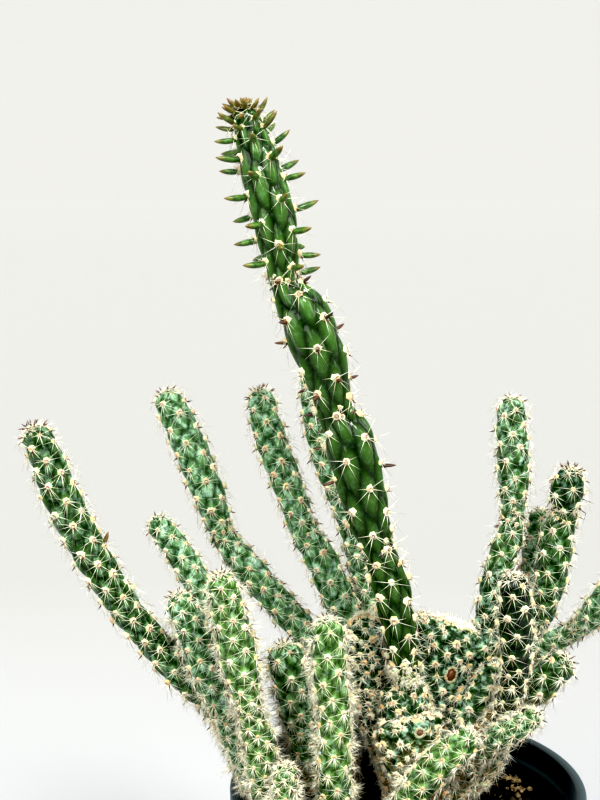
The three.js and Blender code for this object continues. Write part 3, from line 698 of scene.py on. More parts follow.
def fuzz(mass, places, tuft, tone, rng):
    """Short hairs that stand out of each place's dome, of about its tone."""
    TILTS = (0.2, 1.45)
    SUNK = 0.7
    LENGTHS = (0.3, 0.95)
    WIDTH = 0.34
    PALER = -0.15
    VARIED = 0.25
    count = len(places)
    swing = rng.uniform(0, TAU, (count, FUZZ))
    tilt = rng.uniform(*TILTS, (count, FUZZ))
    ways = places.lean(swing, math.pi / 2 - tilt).reshape(-1, 3)
    grown = np.repeat(places.size, FUZZ)
    start = SUNK * (np.cos(tilt.ravel()) * tuft.height + np.sin(tilt.ravel()) * tuft.radius) * grown
    roots = np.repeat(places.point, FUZZ, axis=0) + ways * start[:, None]
    length = rng.uniform(*LENGTHS, len(roots)) * grown
    hair_tone = np.clip(np.repeat(tone, FUZZ) + rng.normal(PALER, VARIED, len(roots)), -1, 1)
    hairs(mass, roots, ways, length, WIDTH * grown, rng, core=0.0, tone=hair_tone)


def wool(growth, places, tuft):
    """A felted dome at each place, with short hairs that stand out of it."""
    if len(places):
        tone = domes(growth.felt, places, tuft, growth.rng)
        fuzz(growth.felt, places, tuft, tone, growth.rng)


# The spines of an areole: swing from straight down, lift off the skin and share of the length
SPINE_FAN = np.array([
    [-62, 8, 0.95], [-34, 9, 1.0], [-8, 12, 1.05], [18, 9, 1.0], [46, 8, 0.95], [78, 6, 0.9],
    [-98, 4, 0.9], [116, 8, 0.85], [-138, 14, 0.75], [162, 22, 0.7], [4, 50, 0.9], [-20, 36, 0.8],
])
STAR_FAN = np.array([
    [-66, 16, 0.95], [-24, 14, 1.1], [20, 16, 1.0], [62, 18, 1.0], [-112, 24, 0.85], [112, 26, 0.8],
])
BRUSH_FAN = np.array([
    [-70, 60, 0.8], [-35, 50, 1.0], [0, 70, 1.0], [35, 55, 1.0], [75, 62, 0.8], [-110, 70, 0.9],
    [115, 66, 0.9], [180, 60, 0.8], [-20, 38, 0.9], [25, 35, 0.9], [-150, 50, 0.8], [150, 48, 0.8],
])
HANGING_FAN = np.array([
    [-48, 24, 0.8], [-26, 16, 1.0], [-6, 30, 1.1], [14, 18, 1.0], [36, 26, 0.9],
])

# Spines: how many an areole has, their length and width in millimetres, the fan that they are taken from
# and how far they stray from it, in degrees
Bristles = namedtuple("Bristles", "count length width fan stray", defaults=(SPINE_FAN, 10))


def spines(growth, places, kind):
    """Each areole's spines, drawn back from other bodies."""
    LIFT_STRAY = 0.6
    LIFTS = (-4, 85)
    LEAST_GROWN = 0.35
    LENGTHS = (0.7, 1.2)
    RAISED = 0.5
    SHORTEST = 1.4
    rng = growth.rng
    many = (len(places), kind.count)
    fan = kind.fan[:kind.count]
    swing = np.radians(fan[:, 0] + rng.normal(0, kind.stray, many))
    lift = np.radians(np.clip(fan[:, 1] + rng.normal(0, kind.stray * LIFT_STRAY, many), *LIFTS))
    ways = places.lean(swing, lift).reshape(-1, 3)
    grown = np.repeat(LEAST_GROWN + (1 - LEAST_GROWN) * np.minimum(places.size, 1), kind.count)
    share = np.tile(fan[:, 2], len(places)) * rng.uniform(*LENGTHS, len(ways))
    reach = kind.length * share * grown
    roots = np.repeat(places.point + places.out * RAISED, kind.count, axis=0)
    reach = drawn_back(roots, ways, reach, growth.owner)
    keep = reach > SHORTEST
    tone = rng.uniform(0, 1, keep.sum())
    hairs(growth.needles, roots[keep], ways[keep], reach[keep], kind.width, rng, tone=tone)


def ticks(growth, places, share, length):
    """The small withered leaf under an areole, on that share of the places."""
    SWAY = 0.5
    LIFTS = (0.75, 1.3)
    BELOW = 1.2
    LENGTHS = (0.7, 1.25)
    SHORTEST = 0.8
    WIDTH = 0.9
    BEND = 0.08
    rng = growth.rng
    chosen = rng.uniform(0, 1, len(places)) < share
    swing = rng.normal(0, SWAY, (len(places), 1))
    ways = places.lean(swing, rng.uniform(*LIFTS, (len(places), 1)))[:, 0]
    roots = places.point - places.up * BELOW * places.size[:, None]
    reach = rng.uniform(*LENGTHS, len(places)) * length
    reach = drawn_back(roots, ways, reach, growth.owner)
    kept = chosen & (reach > SHORTEST)
    look = dict(dry=1.0, rust=0.0, tone=rng.uniform(0, 1, kept.sum()))
    spikes(growth.leaves, roots[kept], ways[kept], reach[kept], WIDTH, BEND, rng, **look)


def clear(places, owner):
    """True where a place's wool would be free of other bodies."""
    PROUD = 0.8
    return ~blocked(places.point + places.out * PROUD, owner)


def flanks(growth, rail, tries):
    """Random places on the two sides of a stem that face along X, where old wool gathers."""
    FROM_FOOT = 3
    FROM_TIP = 12
    SIZES = (0.35, 0.9)
    SIDE = 0.86
    m = growth.rng.uniform(FROM_FOOT, rail.end - FROM_TIP, tries)
    places = scattered(rail, m, SIZES, growth.rng)
    sideways = np.abs(places.out[:, 0]) > SIDE
    return places.pick(sideways & clear(places, growth.owner))


def caught(growth, rail, tries, near):
    """Random places on a body's skin that face another body across a gap of up to near."""
    FROM_FOOT = 3
    FROM_TIP = 1
    SIZES = (0.35, 0.85)
    AHEAD = 0.6
    ROUND = 0.5
    m = growth.rng.uniform(FROM_FOOT, rail.end - FROM_TIP, tries)
    places = scattered(rail, m, SIZES, growth.rng)
    face = places.point + places.out * near * AHEAD
    facing = by_others(face, growth.owner, near * ROUND)
    return places.pick(facing & clear(places, growth.owner))


# Leaves: length and width in millimetres, the angle in radians by which they rise from straight out,
# and how dry and how rusty they are
Leaf = namedtuple("Leaf", "length width rise dry rust")
LEAF_PROFILE = [0.5, 0.86, 1.0, 1.04, 0.98, 0.82, 0.52, 0]


def leaves(growth, places, leaf):
    """Awl-shaped leaves, one under each areole."""
    SWAY = 0.25
    LIFT_SWAY = 0.12
    BELOW = 0.9
    SUNK = 0.2
    LENGTHS = (0.82, 1.1)
    SAG = np.array([0, 0, -0.1])
    rng = growth.rng
    count = len(places)
    swing = math.pi + rng.normal(0, SWAY, (count, 1))
    lift = math.pi / 2 - leaf.rise + rng.normal(0, LIFT_SWAY, (count, 1))
    ways = places.lean(swing, lift)[:, 0]
    roots = places.point - places.up * BELOW - places.out * SUNK
    reach = leaf.length * rng.uniform(*LENGTHS, count)
    reach = drawn_back(roots, ways, reach, growth.owner)
    share = np.linspace(0, 1, len(LEAF_PROFILE))
    centres = roots[:, None] + reach[:, None, None] * (
        ways[:, None] * share[:, None] + SAG * (share * (1 - share))[:, None]
    )
    radii = np.array(LEAF_PROFILE) * leaf.width / 2 * (reach / leaf.length)[:, None] ** 0.5
    look = dict(tone=rng.uniform(0, 1, count), dry=leaf.dry, rust=leaf.rust)
    tubes(growth.leaves, centres, radii, places.round, sides=8, flat=0.78, **look)


# Materials


def tree_of(name, **sockets):
    """A new material with its shader's own sockets set, its node tree and its shader."""
    material = bpy.data.materials.new(name)
    material.use_nodes = True
    tree = material.node_tree
    shader = tree.nodes["Principled BSDF"]
    for key, value in sockets.items():
        shader.inputs[key.replace("_", " ")].default_value = value
    return material, tree, shader


def feed(tree, source, socket):
    """Sets a socket to a constant, or links another node's output to it."""
    if isinstance(source, (int, float, tuple)):
        socket.default_value = source
    else:
        tree.links.new(source, socket)


def node(tree, kind, links=(), **settings):
    """A node with its settings, and inputs fed from (socket, source) pairs."""
    made = tree.nodes.new(kind)
    for key, value in settings.items():
        setattr(made, key, value)
    for socket, source in links:
        feed(tree, source, made.inputs[socket])
    return made


def noise(tree, scale, detail=3.0, roughness=0.55, stretch=(1, 1, 1)):
    """Noise of the object's own place, in features of about 1 / scale metres."""
    place = node(tree, "ShaderNodeTexCoord").outputs["Object"]
    moved = node(tree, "ShaderNodeMapping", [("Vector", place), ("Scale", stretch)]).outputs["Vector"]
    links = [("Vector", moved), ("Scale", scale), ("Detail", detail), ("Roughness", roughness)]
    return node(tree, "ShaderNodeTexNoise", links).outputs["Fac"]


def value_of(tree, name):
    """A vertex value of the mesh."""
    return node(tree, "ShaderNodeAttribute", attribute_name=name).outputs["Fac"]


def ranged(tree, source, low, high, start=0.0, end=1.0):
    """start where the source is low, end where it is high, and in step between them."""
    links = [("Value", source), ("From Min", low), ("From Max", high), ("To Min", start), ("To Max", end)]
    return node(tree, "ShaderNodeMapRange", links).outputs["Result"]


def product(tree, a, b):
    """a times b."""
    return node(tree, "ShaderNodeMath", [(0, a), (1, b)], operation="MULTIPLY").outputs[0]


def mixed(tree, share, a, b):
    """Colour a where share is 0 and b where it is 1."""
    return node(tree, "ShaderNodeMix", [(0, share), (6, a), (7, b)], data_type="RGBA").outputs[2]


def layered(tree, base, *layers):
    """A colour with others laid over it, each given as (share, colour)."""
    for share, paint in layers:
        base = mixed(tree, share, base, paint)
    return base


def bumped(tree, shader, height, depth, strength=1.0):
    """Relief of that depth in metres on the shader."""
    bump = node(tree, "ShaderNodeBump", [("Height", height), ("Distance", depth), ("Strength", strength)])
    feed(tree, bump.outputs["Normal"], shader.inputs["Normal"])


def colour(*levels):
    """A linear colour from screen values of red, green and blue, 0 to 255."""
    shares = [level / 255 for level in levels]
    return (*(c / 12.92 if c <= 0.04045 else ((c + 0.055) / 1.055) ** 2.4 for c in shares), 1.0)


CORK = colour(136, 110, 66)
BLOOM = colour(172, 204, 184)
DARK_SPECK = colour(24, 18, 12)


def flesh_colour(tree, greens, gloss, wax):
    """Mottled green with a bloom, dark and corky where old; painted highlight on its crowns, painted shade
    between them and in its grooves.
    """
    # How much painted shade lies in the grooves, and how dark it is as a share of the old green
    GROOVE_SHADE_SHARE = 0.85
    GROOVE_SHADE = 0.4
    old, deep, middle, pale = greens
    blotch = ranged(tree, noise(tree, 130, 3), 0.34, 0.66, 0.3 * gloss, 1 - 0.3 * gloss)
    fine = ranged(tree, noise(tree, 520, 3), 0.46, 0.68)
    crown = value_of(tree, "crown")
    groove = ranged(tree, value_of(tree, "groove"), 0.1, 1.0)
    flaky = ranged(tree, noise(tree, 320, 4), 0.42, 0.58)
    return layered(
        tree, mixed(tree, blotch, deep, middle),
        (product(tree, fine, 0.3 - 0.15 * gloss), pale),
        # painted highlight: the crowns of the tubercles are painted paler
        (ranged(tree, crown, 0.7, 1.0, 0.0, 0.1 + 0.25 * gloss), pale),
        (value_of(tree, "age"), mixed(tree, blotch, old, deep)),
        # painted shade: away from the crowns, between the tubercles, the skin is painted towards the old
        # green
        (ranged(tree, crown, 0.35, 0.8, 0.25 + 0.5 * gloss, 0.0), old),
        (ranged(tree, noise(tree, 260, 5, 0.65), 0.5, 0.62, 0.0, wax), BLOOM),
        # painted shade: the grooves are painted darker than the old green
        (product(tree, groove, GROOVE_SHADE_SHARE), tuple(GROOVE_SHADE * c for c in old[:3]) + (1,)),
        (product(tree, value_of(tree, "cork"), flaky), CORK),
    )


def flesh_material(name, greens, gloss, wax):
    """Waxy skin. greens are the colours old, deep, middle and pale; wax is its share of grey-green bloom."""
    material, tree, shader = tree_of(
        name, Specular_IOR_Level=0.12, Coat_Weight=0.4 * gloss**2, Coat_Roughness=0.12,
        Sheen_Weight=0.2 * wax, Sheen_Roughness=0.3, Sheen_Tint=(0.78, 0.95, 0.88, 1),
    )
    feed(tree, flesh_colour(tree, greens, gloss, wax), shader.inputs["Base Color"])
    rough = ranged(tree, noise(tree, 420, 3), 0.35, 0.7, 0.48 - 0.22 * gloss, 0.32 - 0.14 * gloss)
    feed(tree, rough, shader.inputs["Roughness"])
    bumped(tree, shader, noise(tree, 900, 4), 0.0004 * (1.1 - gloss), 0.7)
    return material


def wool_material():
    """Felt from white to ochre by its tone, with brown specks and an ochre core to each dome."""
    material, tree, shader = tree_of(
        "felted_wool", Roughness=0.95, Sheen_Weight=0.6, Sheen_Roughness=0.6, Subsurface_Weight=0.6,
        Subsurface_Scale=0.003,
    )
    tone = value_of(tree, "tone")
    base = layered(
        tree, mixed(tree, tone, colour(229, 223, 194), colour(206, 172, 118)),
        (ranged(tree, tone, 0.0, -0.5), colour(252, 248, 238)),
        (ranged(tree, noise(tree, 1500, 2), 0.5, 0.68, 0.0, 0.25), colour(170, 130, 80)),
        (ranged(tree, value_of(tree, "core"), 0.4, 0.95, 0.0, 0.5), colour(207, 172, 116)),
    )
    feed(tree, base, shader.inputs["Base Color"])
    bumped(tree, shader, noise(tree, 2600, 2), 0.0003)
    return material


def spine_material():
    """Ivory, a little browner at the root and in streaks."""
    material, tree, shader = tree_of("ivory_spines", Roughness=0.42, Specular_IOR_Level=0.5)
    base = layered(
        tree, mixed(tree, value_of(tree, "tone"), colour(250, 250, 238), colour(226, 219, 186)),
        (ranged(tree, value_of(tree, "reach"), 0.0, 0.3, 0.15, 0.0), colour(214, 186, 130)),
        (ranged(tree, noise(tree, 900, 2), 0.58, 0.75, 0.0, 0.25), colour(186, 160, 120)),
    )
    feed(tree, base, shader.inputs["Base Color"])
    return material


def leaf_material():
    """Fresh leaves are green with a rusty tip, and withered ones dark brown."""
    material, tree, shader = tree_of("awl_leaves", Roughness=0.36, Coat_Weight=0.2, Coat_Roughness=0.2)
    mottle = ranged(tree, noise(tree, 420, 3), 0.4, 0.62)
    base = layered(
        tree, mixed(tree, mottle, colour(34, 72, 18), colour(88, 124, 52)),
        (ranged(tree, value_of(tree, "reach"), 0.6, 1.0, 0.0, 0.6), colour(146, 100, 50)),
        (value_of(tree, "rust"), colour(126, 88, 40)),
        (value_of(tree, "dry"), mixed(tree, value_of(tree, "tone"), colour(44, 26, 18), colour(104, 66, 38))),
    )
    feed(tree, base, shader.inputs["Base Color"])
    bumped(tree, shader, noise(tree, 1600, 2, 0.5, (1, 1, 0.3)), 0.0002, 0.6)
    return material


def soil_material():
    """Dark grainy potting mix."""
    material, tree, shader = tree_of("dark_potting_soil", Roughness=0.95, Specular_IOR_Level=0.1)
    grain = ranged(tree, noise(tree, 700, 5, 0.7), 0.4, 0.68)
    feed(tree, mixed(tree, grain, colour(20, 20, 17), colour(50, 47, 38)), shader.inputs["Base Color"])
    bumped(tree, shader, noise(tree, 1100, 5, 0.7), 0.0012)
    return material


def crumb_material():
    """Crumbs from nearly black to straw by their tone, with dark specks."""
    material, tree, shader = tree_of("soil_crumbs", Roughness=0.9, Specular_IOR_Level=0.2)
    base = mixed(tree, value_of(tree, "tone"), colour(26, 22, 17), colour(170, 150, 112))
    speck = ranged(tree, noise(tree, 900, 4), 0.48, 0.6, 0.0, 0.85)
    feed(tree, mixed(tree, speck, base, DARK_SPECK), shader.inputs["Base Color"])
    bumped(tree, shader, noise(tree, 2400, 3), 0.0004)
    return material


def pot_material():
    """Black moulded plastic, with dust where it is scuffed, shinier on its rim, and a painted grey highlight
    on its rim's outer top.
    """
    # How far in and how far down the painted highlight on the rim's outer top reaches
    RIM_HIGHLIGHT_WIDTH = 0.85 * RIM_WIDTH
    RIM_HIGHLIGHT_ABOVE = (POT_HEIGHT - 2) * MM
    MATT_BELOW = (POT_HEIGHT - 3) * MM
    SHINY_ABOVE = (POT_HEIGHT - 1) * MM
    material, tree, shader = tree_of(
        "black_moulded_plastic", Specular_IOR_Level=0.25, Sheen_Weight=0.2, Sheen_Roughness=0.25,
        Sheen_Tint=(0.6, 0.85, 1.0, 1),
    )
    dust = ranged(tree, noise(tree, 90, 6, 0.75), 0.58, 0.88, 0.0, 0.4)
    base = mixed(tree, dust, colour(35, 43, 45), colour(54, 64, 67))
    place = node(tree, "ShaderNodeTexCoord").outputs["Object"]
    axes = node(tree, "ShaderNodeSeparateXYZ", [("Vector", place)]).outputs
    level = node(tree, "ShaderNodeCombineXYZ", [("X", axes["X"]), ("Y", axes["Y"])]).outputs[0]
    reach = node(tree, "ShaderNodeVectorMath", [(0, level)], operation="LENGTH").outputs["Value"]
    highlit_rim_top = ranged(tree, axes["Z"], RIM_HIGHLIGHT_ABOVE, POT_HEIGHT * MM)
    outer = ranged(tree, reach, (RIM_RADIUS - RIM_HIGHLIGHT_WIDTH) * MM, RIM_RADIUS * MM, 0.1, 1.0)
    # painted highlight: the outer top of the rim is painted a lighter grey-teal
    base = mixed(tree, product(tree, highlit_rim_top, outer), base, colour(70, 85, 89))
    feed(tree, base, shader.inputs["Base Color"])
    matt = ranged(tree, axes["Z"], MATT_BELOW, SHINY_ABOVE, 0.7, 0.3)
    rough = ranged(tree, noise(tree, 240, 4), 0.3, 0.7, 0.0, 0.15)
    total = node(tree, "ShaderNodeMath", [(0, matt), (1, rough)]).outputs[0]
    feed(tree, total, shader.inputs["Roughness"])
    bumped(tree, shader, noise(tree, 900, 2), 0.00008, 0.5)
    return material


# Each skin's greens, from old to pale
DEEP_GREENS = (colour(5, 30, 3), colour(14, 50, 10), colour(55, 94, 38), colour(128, 164, 108))
# These greens are paler partly for the stems' waxy bloom and partly as painted light, to lift stems that
# stand in shade
BLOOMED_LIGHTENED_GREENS = (colour(8, 42, 6), colour(30, 76, 24), colour(95, 138, 84), colour(172, 204, 170))
LIGHT_GREENS = (colour(14, 46, 8), colour(36, 76, 18), colour(102, 140, 70), colour(170, 200, 140))
BRIGHT_GREENS = (colour(2, 20, 1), colour(7, 40, 2), colour(34, 86, 12), colour(124, 168, 88))
DARK_GREENS = (colour(1, 12, 1), colour(2, 20, 1), colour(8, 38, 5), colour(60, 98, 46))
CREST_GREENS = (colour(6, 30, 4), colour(24, 66, 18), colour(96, 136, 74), colour(164, 196, 148))
FLESH = {
    "deep": flesh_material("flesh_deep_green", DEEP_GREENS, 0.45, 0.3),
    "bloomed_lightened": flesh_material("flesh_bloomed_lightened_green", BLOOMED_LIGHTENED_GREENS, 0.45, 0.65),
    "light": flesh_material("flesh_light_green", LIGHT_GREENS, 0.4, 0.3),
    "bright": flesh_material("flesh_bright_green", BRIGHT_GREENS, 1.0, 0.06),
    "dark": flesh_material("flesh_dark_green", DARK_GREENS, 1.0, 0.05),
    "crest": flesh_material("flesh_crest", CREST_GREENS, 0.5, 0.7),
}
WOOL = wool_material()
SPINES = spine_material()
LEAVES = leaf_material()


# Stems

TALL = "tall_stem"
FLESH_KINDS = {
    "bright": (TALL,),
    "dark": ("dark_right_stem",),
    "crest": ("dark_stem", "front_right_stub", "right_tall_stem"),
    "light": ("front_left_stem", "front_stem", "front_left_stub", "front_right_stem"),
    # painted light: left_stem and right_back_stem among these get the paler greens to make up for the shade
    # they stand in
    "bloomed_lightened": (
        "jointed_left_stem", "back_left_stem", "short_back_left_stem", "stem_behind_tall", "far_right_stem",
        "right_back_stem", "left_stem",
    ),
}
KIND_OF = {name: kind for kind, names in FLESH_KINDS.items() for name in names}
DARK_SLOT = (TALL, "dark_stem", "dark_right_stem")
STEM_SHAPE = Shape(sink=0.6, swell=1.4, groove=1.1, soft=0.14, drop=0.2, stretch=0.58)
TALL_SHAPE = Shape(sink=1.3, swell=2.2, groove=1.3, soft=0.22, drop=0.3, stretch=0.36)
# The area of an areole over the square of the stem's radius
AREA_SHARE = 1.4
AREA_SHARES = {TALL: 1.7, "front_left_stem": 1.1, "left_stem": 1.1, "front_left_stub": 1.0}
FLANKED = ("front_left_stem", "left_stem", "front_stem", "front_left_stub", "front_right_stem", "dark_stem")
SPIKY_TIPS = ("far_left_stem", "back_left_stem", "right_jointed_stem")

# Heights at which the dress or the skin of a stem changes
OLD_BELOW = 215
TALL_FOOT = 210
LEAVES_ABOVE = 398
RUST_ABOVE = 460
DRY_LEAVES_ABOVE = 290
DARK_TIPS = {"right_jointed_stem": 281}
DARK_BELOW = {"right_tall_stem": 255}

# The least age of a stem's skin, from 0 to 1
STEM_AGES = {"right_tall_stem": 0.4}

# The heights of each stem's necks, where one year's growth stands on the last
NECKS = {
    TALL: (272, 336, 394), "jointed_left_stem": (260,), "right_tall_stem": (277,),
    "right_jointed_stem": (282,), "front_left_stem": (207,), "back_left_stem": (267,),
    "right_back_stem": (218,), "far_right_stem": (229,), "left_stem": (197,),
}

YOUNG_WOOL = Tuft(1.85, 1.5, (0.2, 0.7))
TALL_WOOL = Tuft(1.9, 1.5, (0.2, 0.7))
OLD_WOOL = Tuft(1.7, 1.4, (0.25, 0.95))
TALL_FOOT_WOOL = Tuft(2.0, 1.8, (0.1, 0.9))
NECK_WOOL = Tuft(1.6, 1.2, (0.4, 1.0))
CAUGHT_WOOL = Tuft(1.3, 1.1, (-0.5, 0.6))
FLUFF_WOOL = Tuft(1.1, 1.0, (-1.0, -0.5))
STEM_SPINES = Bristles(9, 10.5, 0.3)
TALL_SPINES = Bristles(6, 11.5, 0.38, STAR_FAN)
TALL_FOOT_SPINES = Bristles(6, 6.0, 0.4, BRUSH_FAN, 25)
OLD_SPINES = Bristles(5, 8.5, 0.38, HANGING_FAN, 16)
NECK_SPINES = Bristles(3, 5.0, 0.36)
CAUGHT_SPINES = Bristles(6, 6.0, 0.36, SPINE_FAN, 35)
FLUFF_SPINES = (Bristles(9, 7.5, 0.42, SPINE_FAN, 30), Bristles(7, 8.5, 0.42, BRUSH_FAN, 30))
FRESH_LEAF = Leaf(length=12.0, width=3.6, rise=0.1, dry=0.0, rust=0.0)
CROWN_LEAF = Leaf(length=9.5, width=2.8, rise=0.3, dry=0.0, rust=0.25)
TIP_LEAF = Leaf(length=8.5, width=2.6, rise=-0.45, dry=0.0, rust=0.45)
DRY_LEAF = Leaf(length=7.0, width=2.0, rise=0.1, dry=1.0, rust=0.0)
STRAY_LEAF = Leaf(length=8.5, width=2.6, rise=0.85, dry=0.0, rust=0.7)


def collar(growth, rail, z, tufts, spread):
    """Places of old wool crowded round a stem at height z."""
    SIZES = (0.45, 0.95)
    m = rail.length_at(z) + growth.rng.normal(0, spread, tufts)
    return scattered(rail, m, SIZES, growth.rng)


def stem_ages(name, heights):
    """How old the skin is at each height, from 0 to 1."""
    FOOT = (140, 175)
    TALL_AGE = 0.35
    TALL_FADE = (330, 420)
    TIP_AGE = 0.6
    TIP_FADE = 2
    LOW_AGE = 0.9
    LOW_FADE = 12
    if name == TALL:
        age = TALL_AGE - TALL_AGE * smooth(heights, *TALL_FADE)
    else:
        age = 1 - smooth(heights, *FOOT)
    age = np.maximum(age, STEM_AGES.get(name, 0))
    if name in DARK_TIPS:
        low = DARK_TIPS[name]
        age = np.maximum(age, TIP_AGE * smooth(heights, low, low + TIP_FADE))
    if name in DARK_BELOW:
        top = DARK_BELOW[name]
        age = np.maximum(age, LOW_AGE - LOW_AGE * smooth(heights, top - LOW_FADE, top + LOW_FADE))
    return age


def stem_skin(name, rail, areoles, shape):
    """The stem's skin, with its age and the cork of its foot."""
    ROW = 1.3
    COLUMN = 1.1
    SOIL_FOOT = 150
    CREST_FOOT = 8
    CORK_BELOW = 6
    CORK_ABOVE = 14
    body = Mass()
    skin(body, rail, areoles, shape, ROW, COLUMN)
    heights = body.heights()
    foot = SOIL_FOOT if name in SOIL_STEMS else rail.table[0, 2] + CREST_FOOT
    body.values["cork"] = [1 - smooth(heights, foot - CORK_BELOW, foot + CORK_ABOVE)]
    body.values["age"] = [stem_ages(name, heights)]
    slot = "flesh_dark" if name in DARK_SLOT else "flesh"
    body.build(name + "_skin", name, slot, FLESH[KIND_OF.get(name, "deep")])


def tall_leaves(growth, places):
    """Fresh leaves near the top, rusty ones round the tip and dry ones lower down."""
    TIP = 7
    DRY_SHARE = 0.4
    z = places.point[:, 2]
    fresh = z > LEAVES_ABOVE
    crown = z > RUST_ABOVE
    dry = (z > DRY_LEAVES_ABOVE) & ~fresh & (growth.rng.uniform(0, 1, len(z)) < DRY_SHARE)
    leaves(growth, places.pick(fresh & ~crown), FRESH_LEAF)
    tip = crown & (places.to_tip < TIP)
    leaves(growth, places.pick(crown & ~tip), CROWN_LEAF)
    leaves(growth, places.pick(tip), TIP_LEAF)
    leaves(growth, places.pick(dry), DRY_LEAF)


def tall_dress(growth, rail, places):
    """The tall stem's stars of spines and its leaves, and the old wool round its foot."""
    spines(growth, places, TALL_SPINES)
    tall_leaves(growth, places)
    foot = collar(growth, rail, TALL_FOOT, tufts=75, spread=4.0)
    wool(growth, foot, TALL_FOOT_WOOL)
    spines(growth, foot, TALL_FOOT_SPINES)


def neck_dress(growth, rail, z):
    """Old wool, withered scraps and a few spines round a neck."""
    scraps = collar(growth, rail, z, tufts=12, spread=2.2)
    wool(growth, scraps, NECK_WOOL)
    ticks(growth, scraps, share=0.9, length=2.4)
    spines(growth, scraps, NECK_SPINES)


def flank_dress(growth, rail):
    """White fluff, long spines and a few scraps on a stem's two sides."""
    fluff = flanks(growth, rail, tries=300)
    wool(growth, fluff, FLUFF_WOOL)
    for kind in FLUFF_SPINES:
        spines(growth, fluff, kind)
    ticks(growth, fluff, share=0.4, length=2.0)


def stem_areoles(name, rail, rng):
    """The areoles of a stem, a little closer together where it is old."""
    CROWDING = 0.08 if name == TALL else 0.15
    JITTER = 0.06
    OLD_SHARE = 0.8
    YOUNG_MORE = 0.2
    FADE = 40
    share = AREA_SHARES.get(name, AREA_SHARE)

    def area_of(z, r):
        return share * r * r * (OLD_SHARE + YOUNG_MORE * smooth(z, OLD_BELOW - FADE, OLD_BELOW))

    return Areoles(rail, area_of, CROWDING, JITTER, rng)


def stem(name):
    """One stem: its skin, wool, spines and withered leaves."""
    FIRST_SEED = 100
    TIP = 9
    tall = name == TALL
    rail = RAILS[name]
    shape = TALL_SHAPE if tall else STEM_SHAPE
    growth = Growth(FIRST_SEED + OWNERS[name], OWNERS[name])
    areoles = stem_areoles(name, rail, growth.rng)
    places = areole_places(areoles, shape, growth.owner)
    stem_skin(name, rail, areoles, shape)

    old = places.point[:, 2] < OLD_BELOW
    wool(growth, places.pick(~old), TALL_WOOL if tall else YOUNG_WOOL)
    wool(growth, places.pick(old), OLD_WOOL)
    if tall:
        tall_dress(growth, rail, places)
    else:
        spines(growth, places, STEM_SPINES)
    spines(growth, places.pick(old), OLD_SPINES)
    ticks(growth, places, share=0.8, length=3.2)
    if name in SPIKY_TIPS:
        ticks(growth, places.pick(places.to_tip < TIP), share=0.9, length=3.8)
    for z in NECKS.get(name, ()):
        neck_dress(growth, rail, z)
    scraps = caught(growth, rail, tries=420, near=6.0)
    wool(growth, scraps, CAUGHT_WOOL)
    spines(growth, scraps, CAUGHT_SPINES)
    if name in FLANKED:
        flank_dress(growth, rail)
    growth.build(name, name + "_leaves")


def right_side(name, z):
    """One place on a stem at height z, where it faces +X."""
    rail = RAILS[name]
    return Places(rail, np.array([rail.length_at(z)]), np.array([TAU / 2]), np.ones(1))


# The thorns by the tip of right_jointed_stem: height, lift off the skin, length and bend
THORNS = ((283, 0.5, 9.0, -0.35), (287, 1.35, 8.0, 0.04))


def strays():
    """A rusty leaf that stands up from a left stem, and two dark thorns by a right stem's tip."""
    SEED = 23
    LEAF_HEIGHT = 275
    THORN_WIDTH = 0.5
    lone = Growth(SEED, OWNERS["far_left_stem"])
    leaves(lone, right_side("far_left_stem", LEAF_HEIGHT), STRAY_LEAF)
    lone.leaves.build("far_left_stem_dry_leaf", "far_left_stem", "leaves", LEAVES)
    thorns = Mass()
    look = dict(dry=1.0, rust=0.0, tone=0.0)
    for z, lift, length, bend in THORNS:
        place = right_side("right_jointed_stem", z)
        way = place.lean(np.zeros((1, 1)), np.full((1, 1), lift))[:, 0]
        spikes(thorns, place.point, way, length, THORN_WIDTH, bend, lone.rng, **look)
    thorns.build("right_jointed_stem_thorns", "right_jointed_stem", "leaves", LEAVES)


for name in RAILS:
    stem(name)
strays()


# Crest

CREST_SHAPE = Shape(sink=0.6, swell=1.9, groove=1.6, soft=0.17, drop=0.1, stretch=0.85)

# Each lobe: the area of an areole and the half width of its wool, how far its skin is darkened towards its
# old greens, how many spines an areole has and their length, the tries of old wool caught by its neighbours
# and how wide a gap that bridges, and the tufts of wool along its growing edge and how far down from the edge
# they stand
Lobe = namedtuple("Lobe", "area wool age spines dust ridge", defaults=((260, 5.0), None))
LOBE_LOOKS = {
    "core": Lobe(24, 1.6, 0.6, (8, 6.0), dust=(420, 10.0)),
    "left": Lobe(19, 1.6, 0.7, (9, 6.5), dust=(50, 4.0)),
    "right_fan": Lobe(44, 1.85, 0.7, (9, 6.5), ridge=(64, 4.0)),
    "front_fan": Lobe(28, 2.05, 0.6, (10, 6.0), ridge=(6, 7.0)),
    "woolly": Lobe(20, 1.6, 0.0, (12, 8.0), ridge=(70, 7.0)),
    "knuckle": Lobe(36, 1.75, 0.5, (9, 6.5), ridge=(30, 5.0)),
}
RIDGE_WOOL = Tuft(1.5, 1.2, (0.5, 1.0))
DUST_WOOL = Tuft(1.1, 1.0, (-0.1, 1.0))
SCAR_WOOL = Tuft(1.4, 1.3, (0.4, 1.0))
TUFT_SPINES = Bristles(12, 3.6, 0.4, BRUSH_FAN, 14)
RIDGE_SPINES = Bristles(10, 4.5, 0.36, BRUSH_FAN, 20)
DUST_SPINES = Bristles(7, 6.0, 0.36, SPINE_FAN, 40)

# Scars: the lobe, the spot that they are nearest, half width and half height
SCARS = [
    ("right_fan", (20.7, 2, 205), 2.6, 3.7), ("right_fan", (26.4, 0, 194.6), 1.4, 1.1),
    ("knuckle", (39.6, 3, 206), 1.5, 1.3), ("front_fan", (3.9, -22, 186), 2.2, 1.9),
]


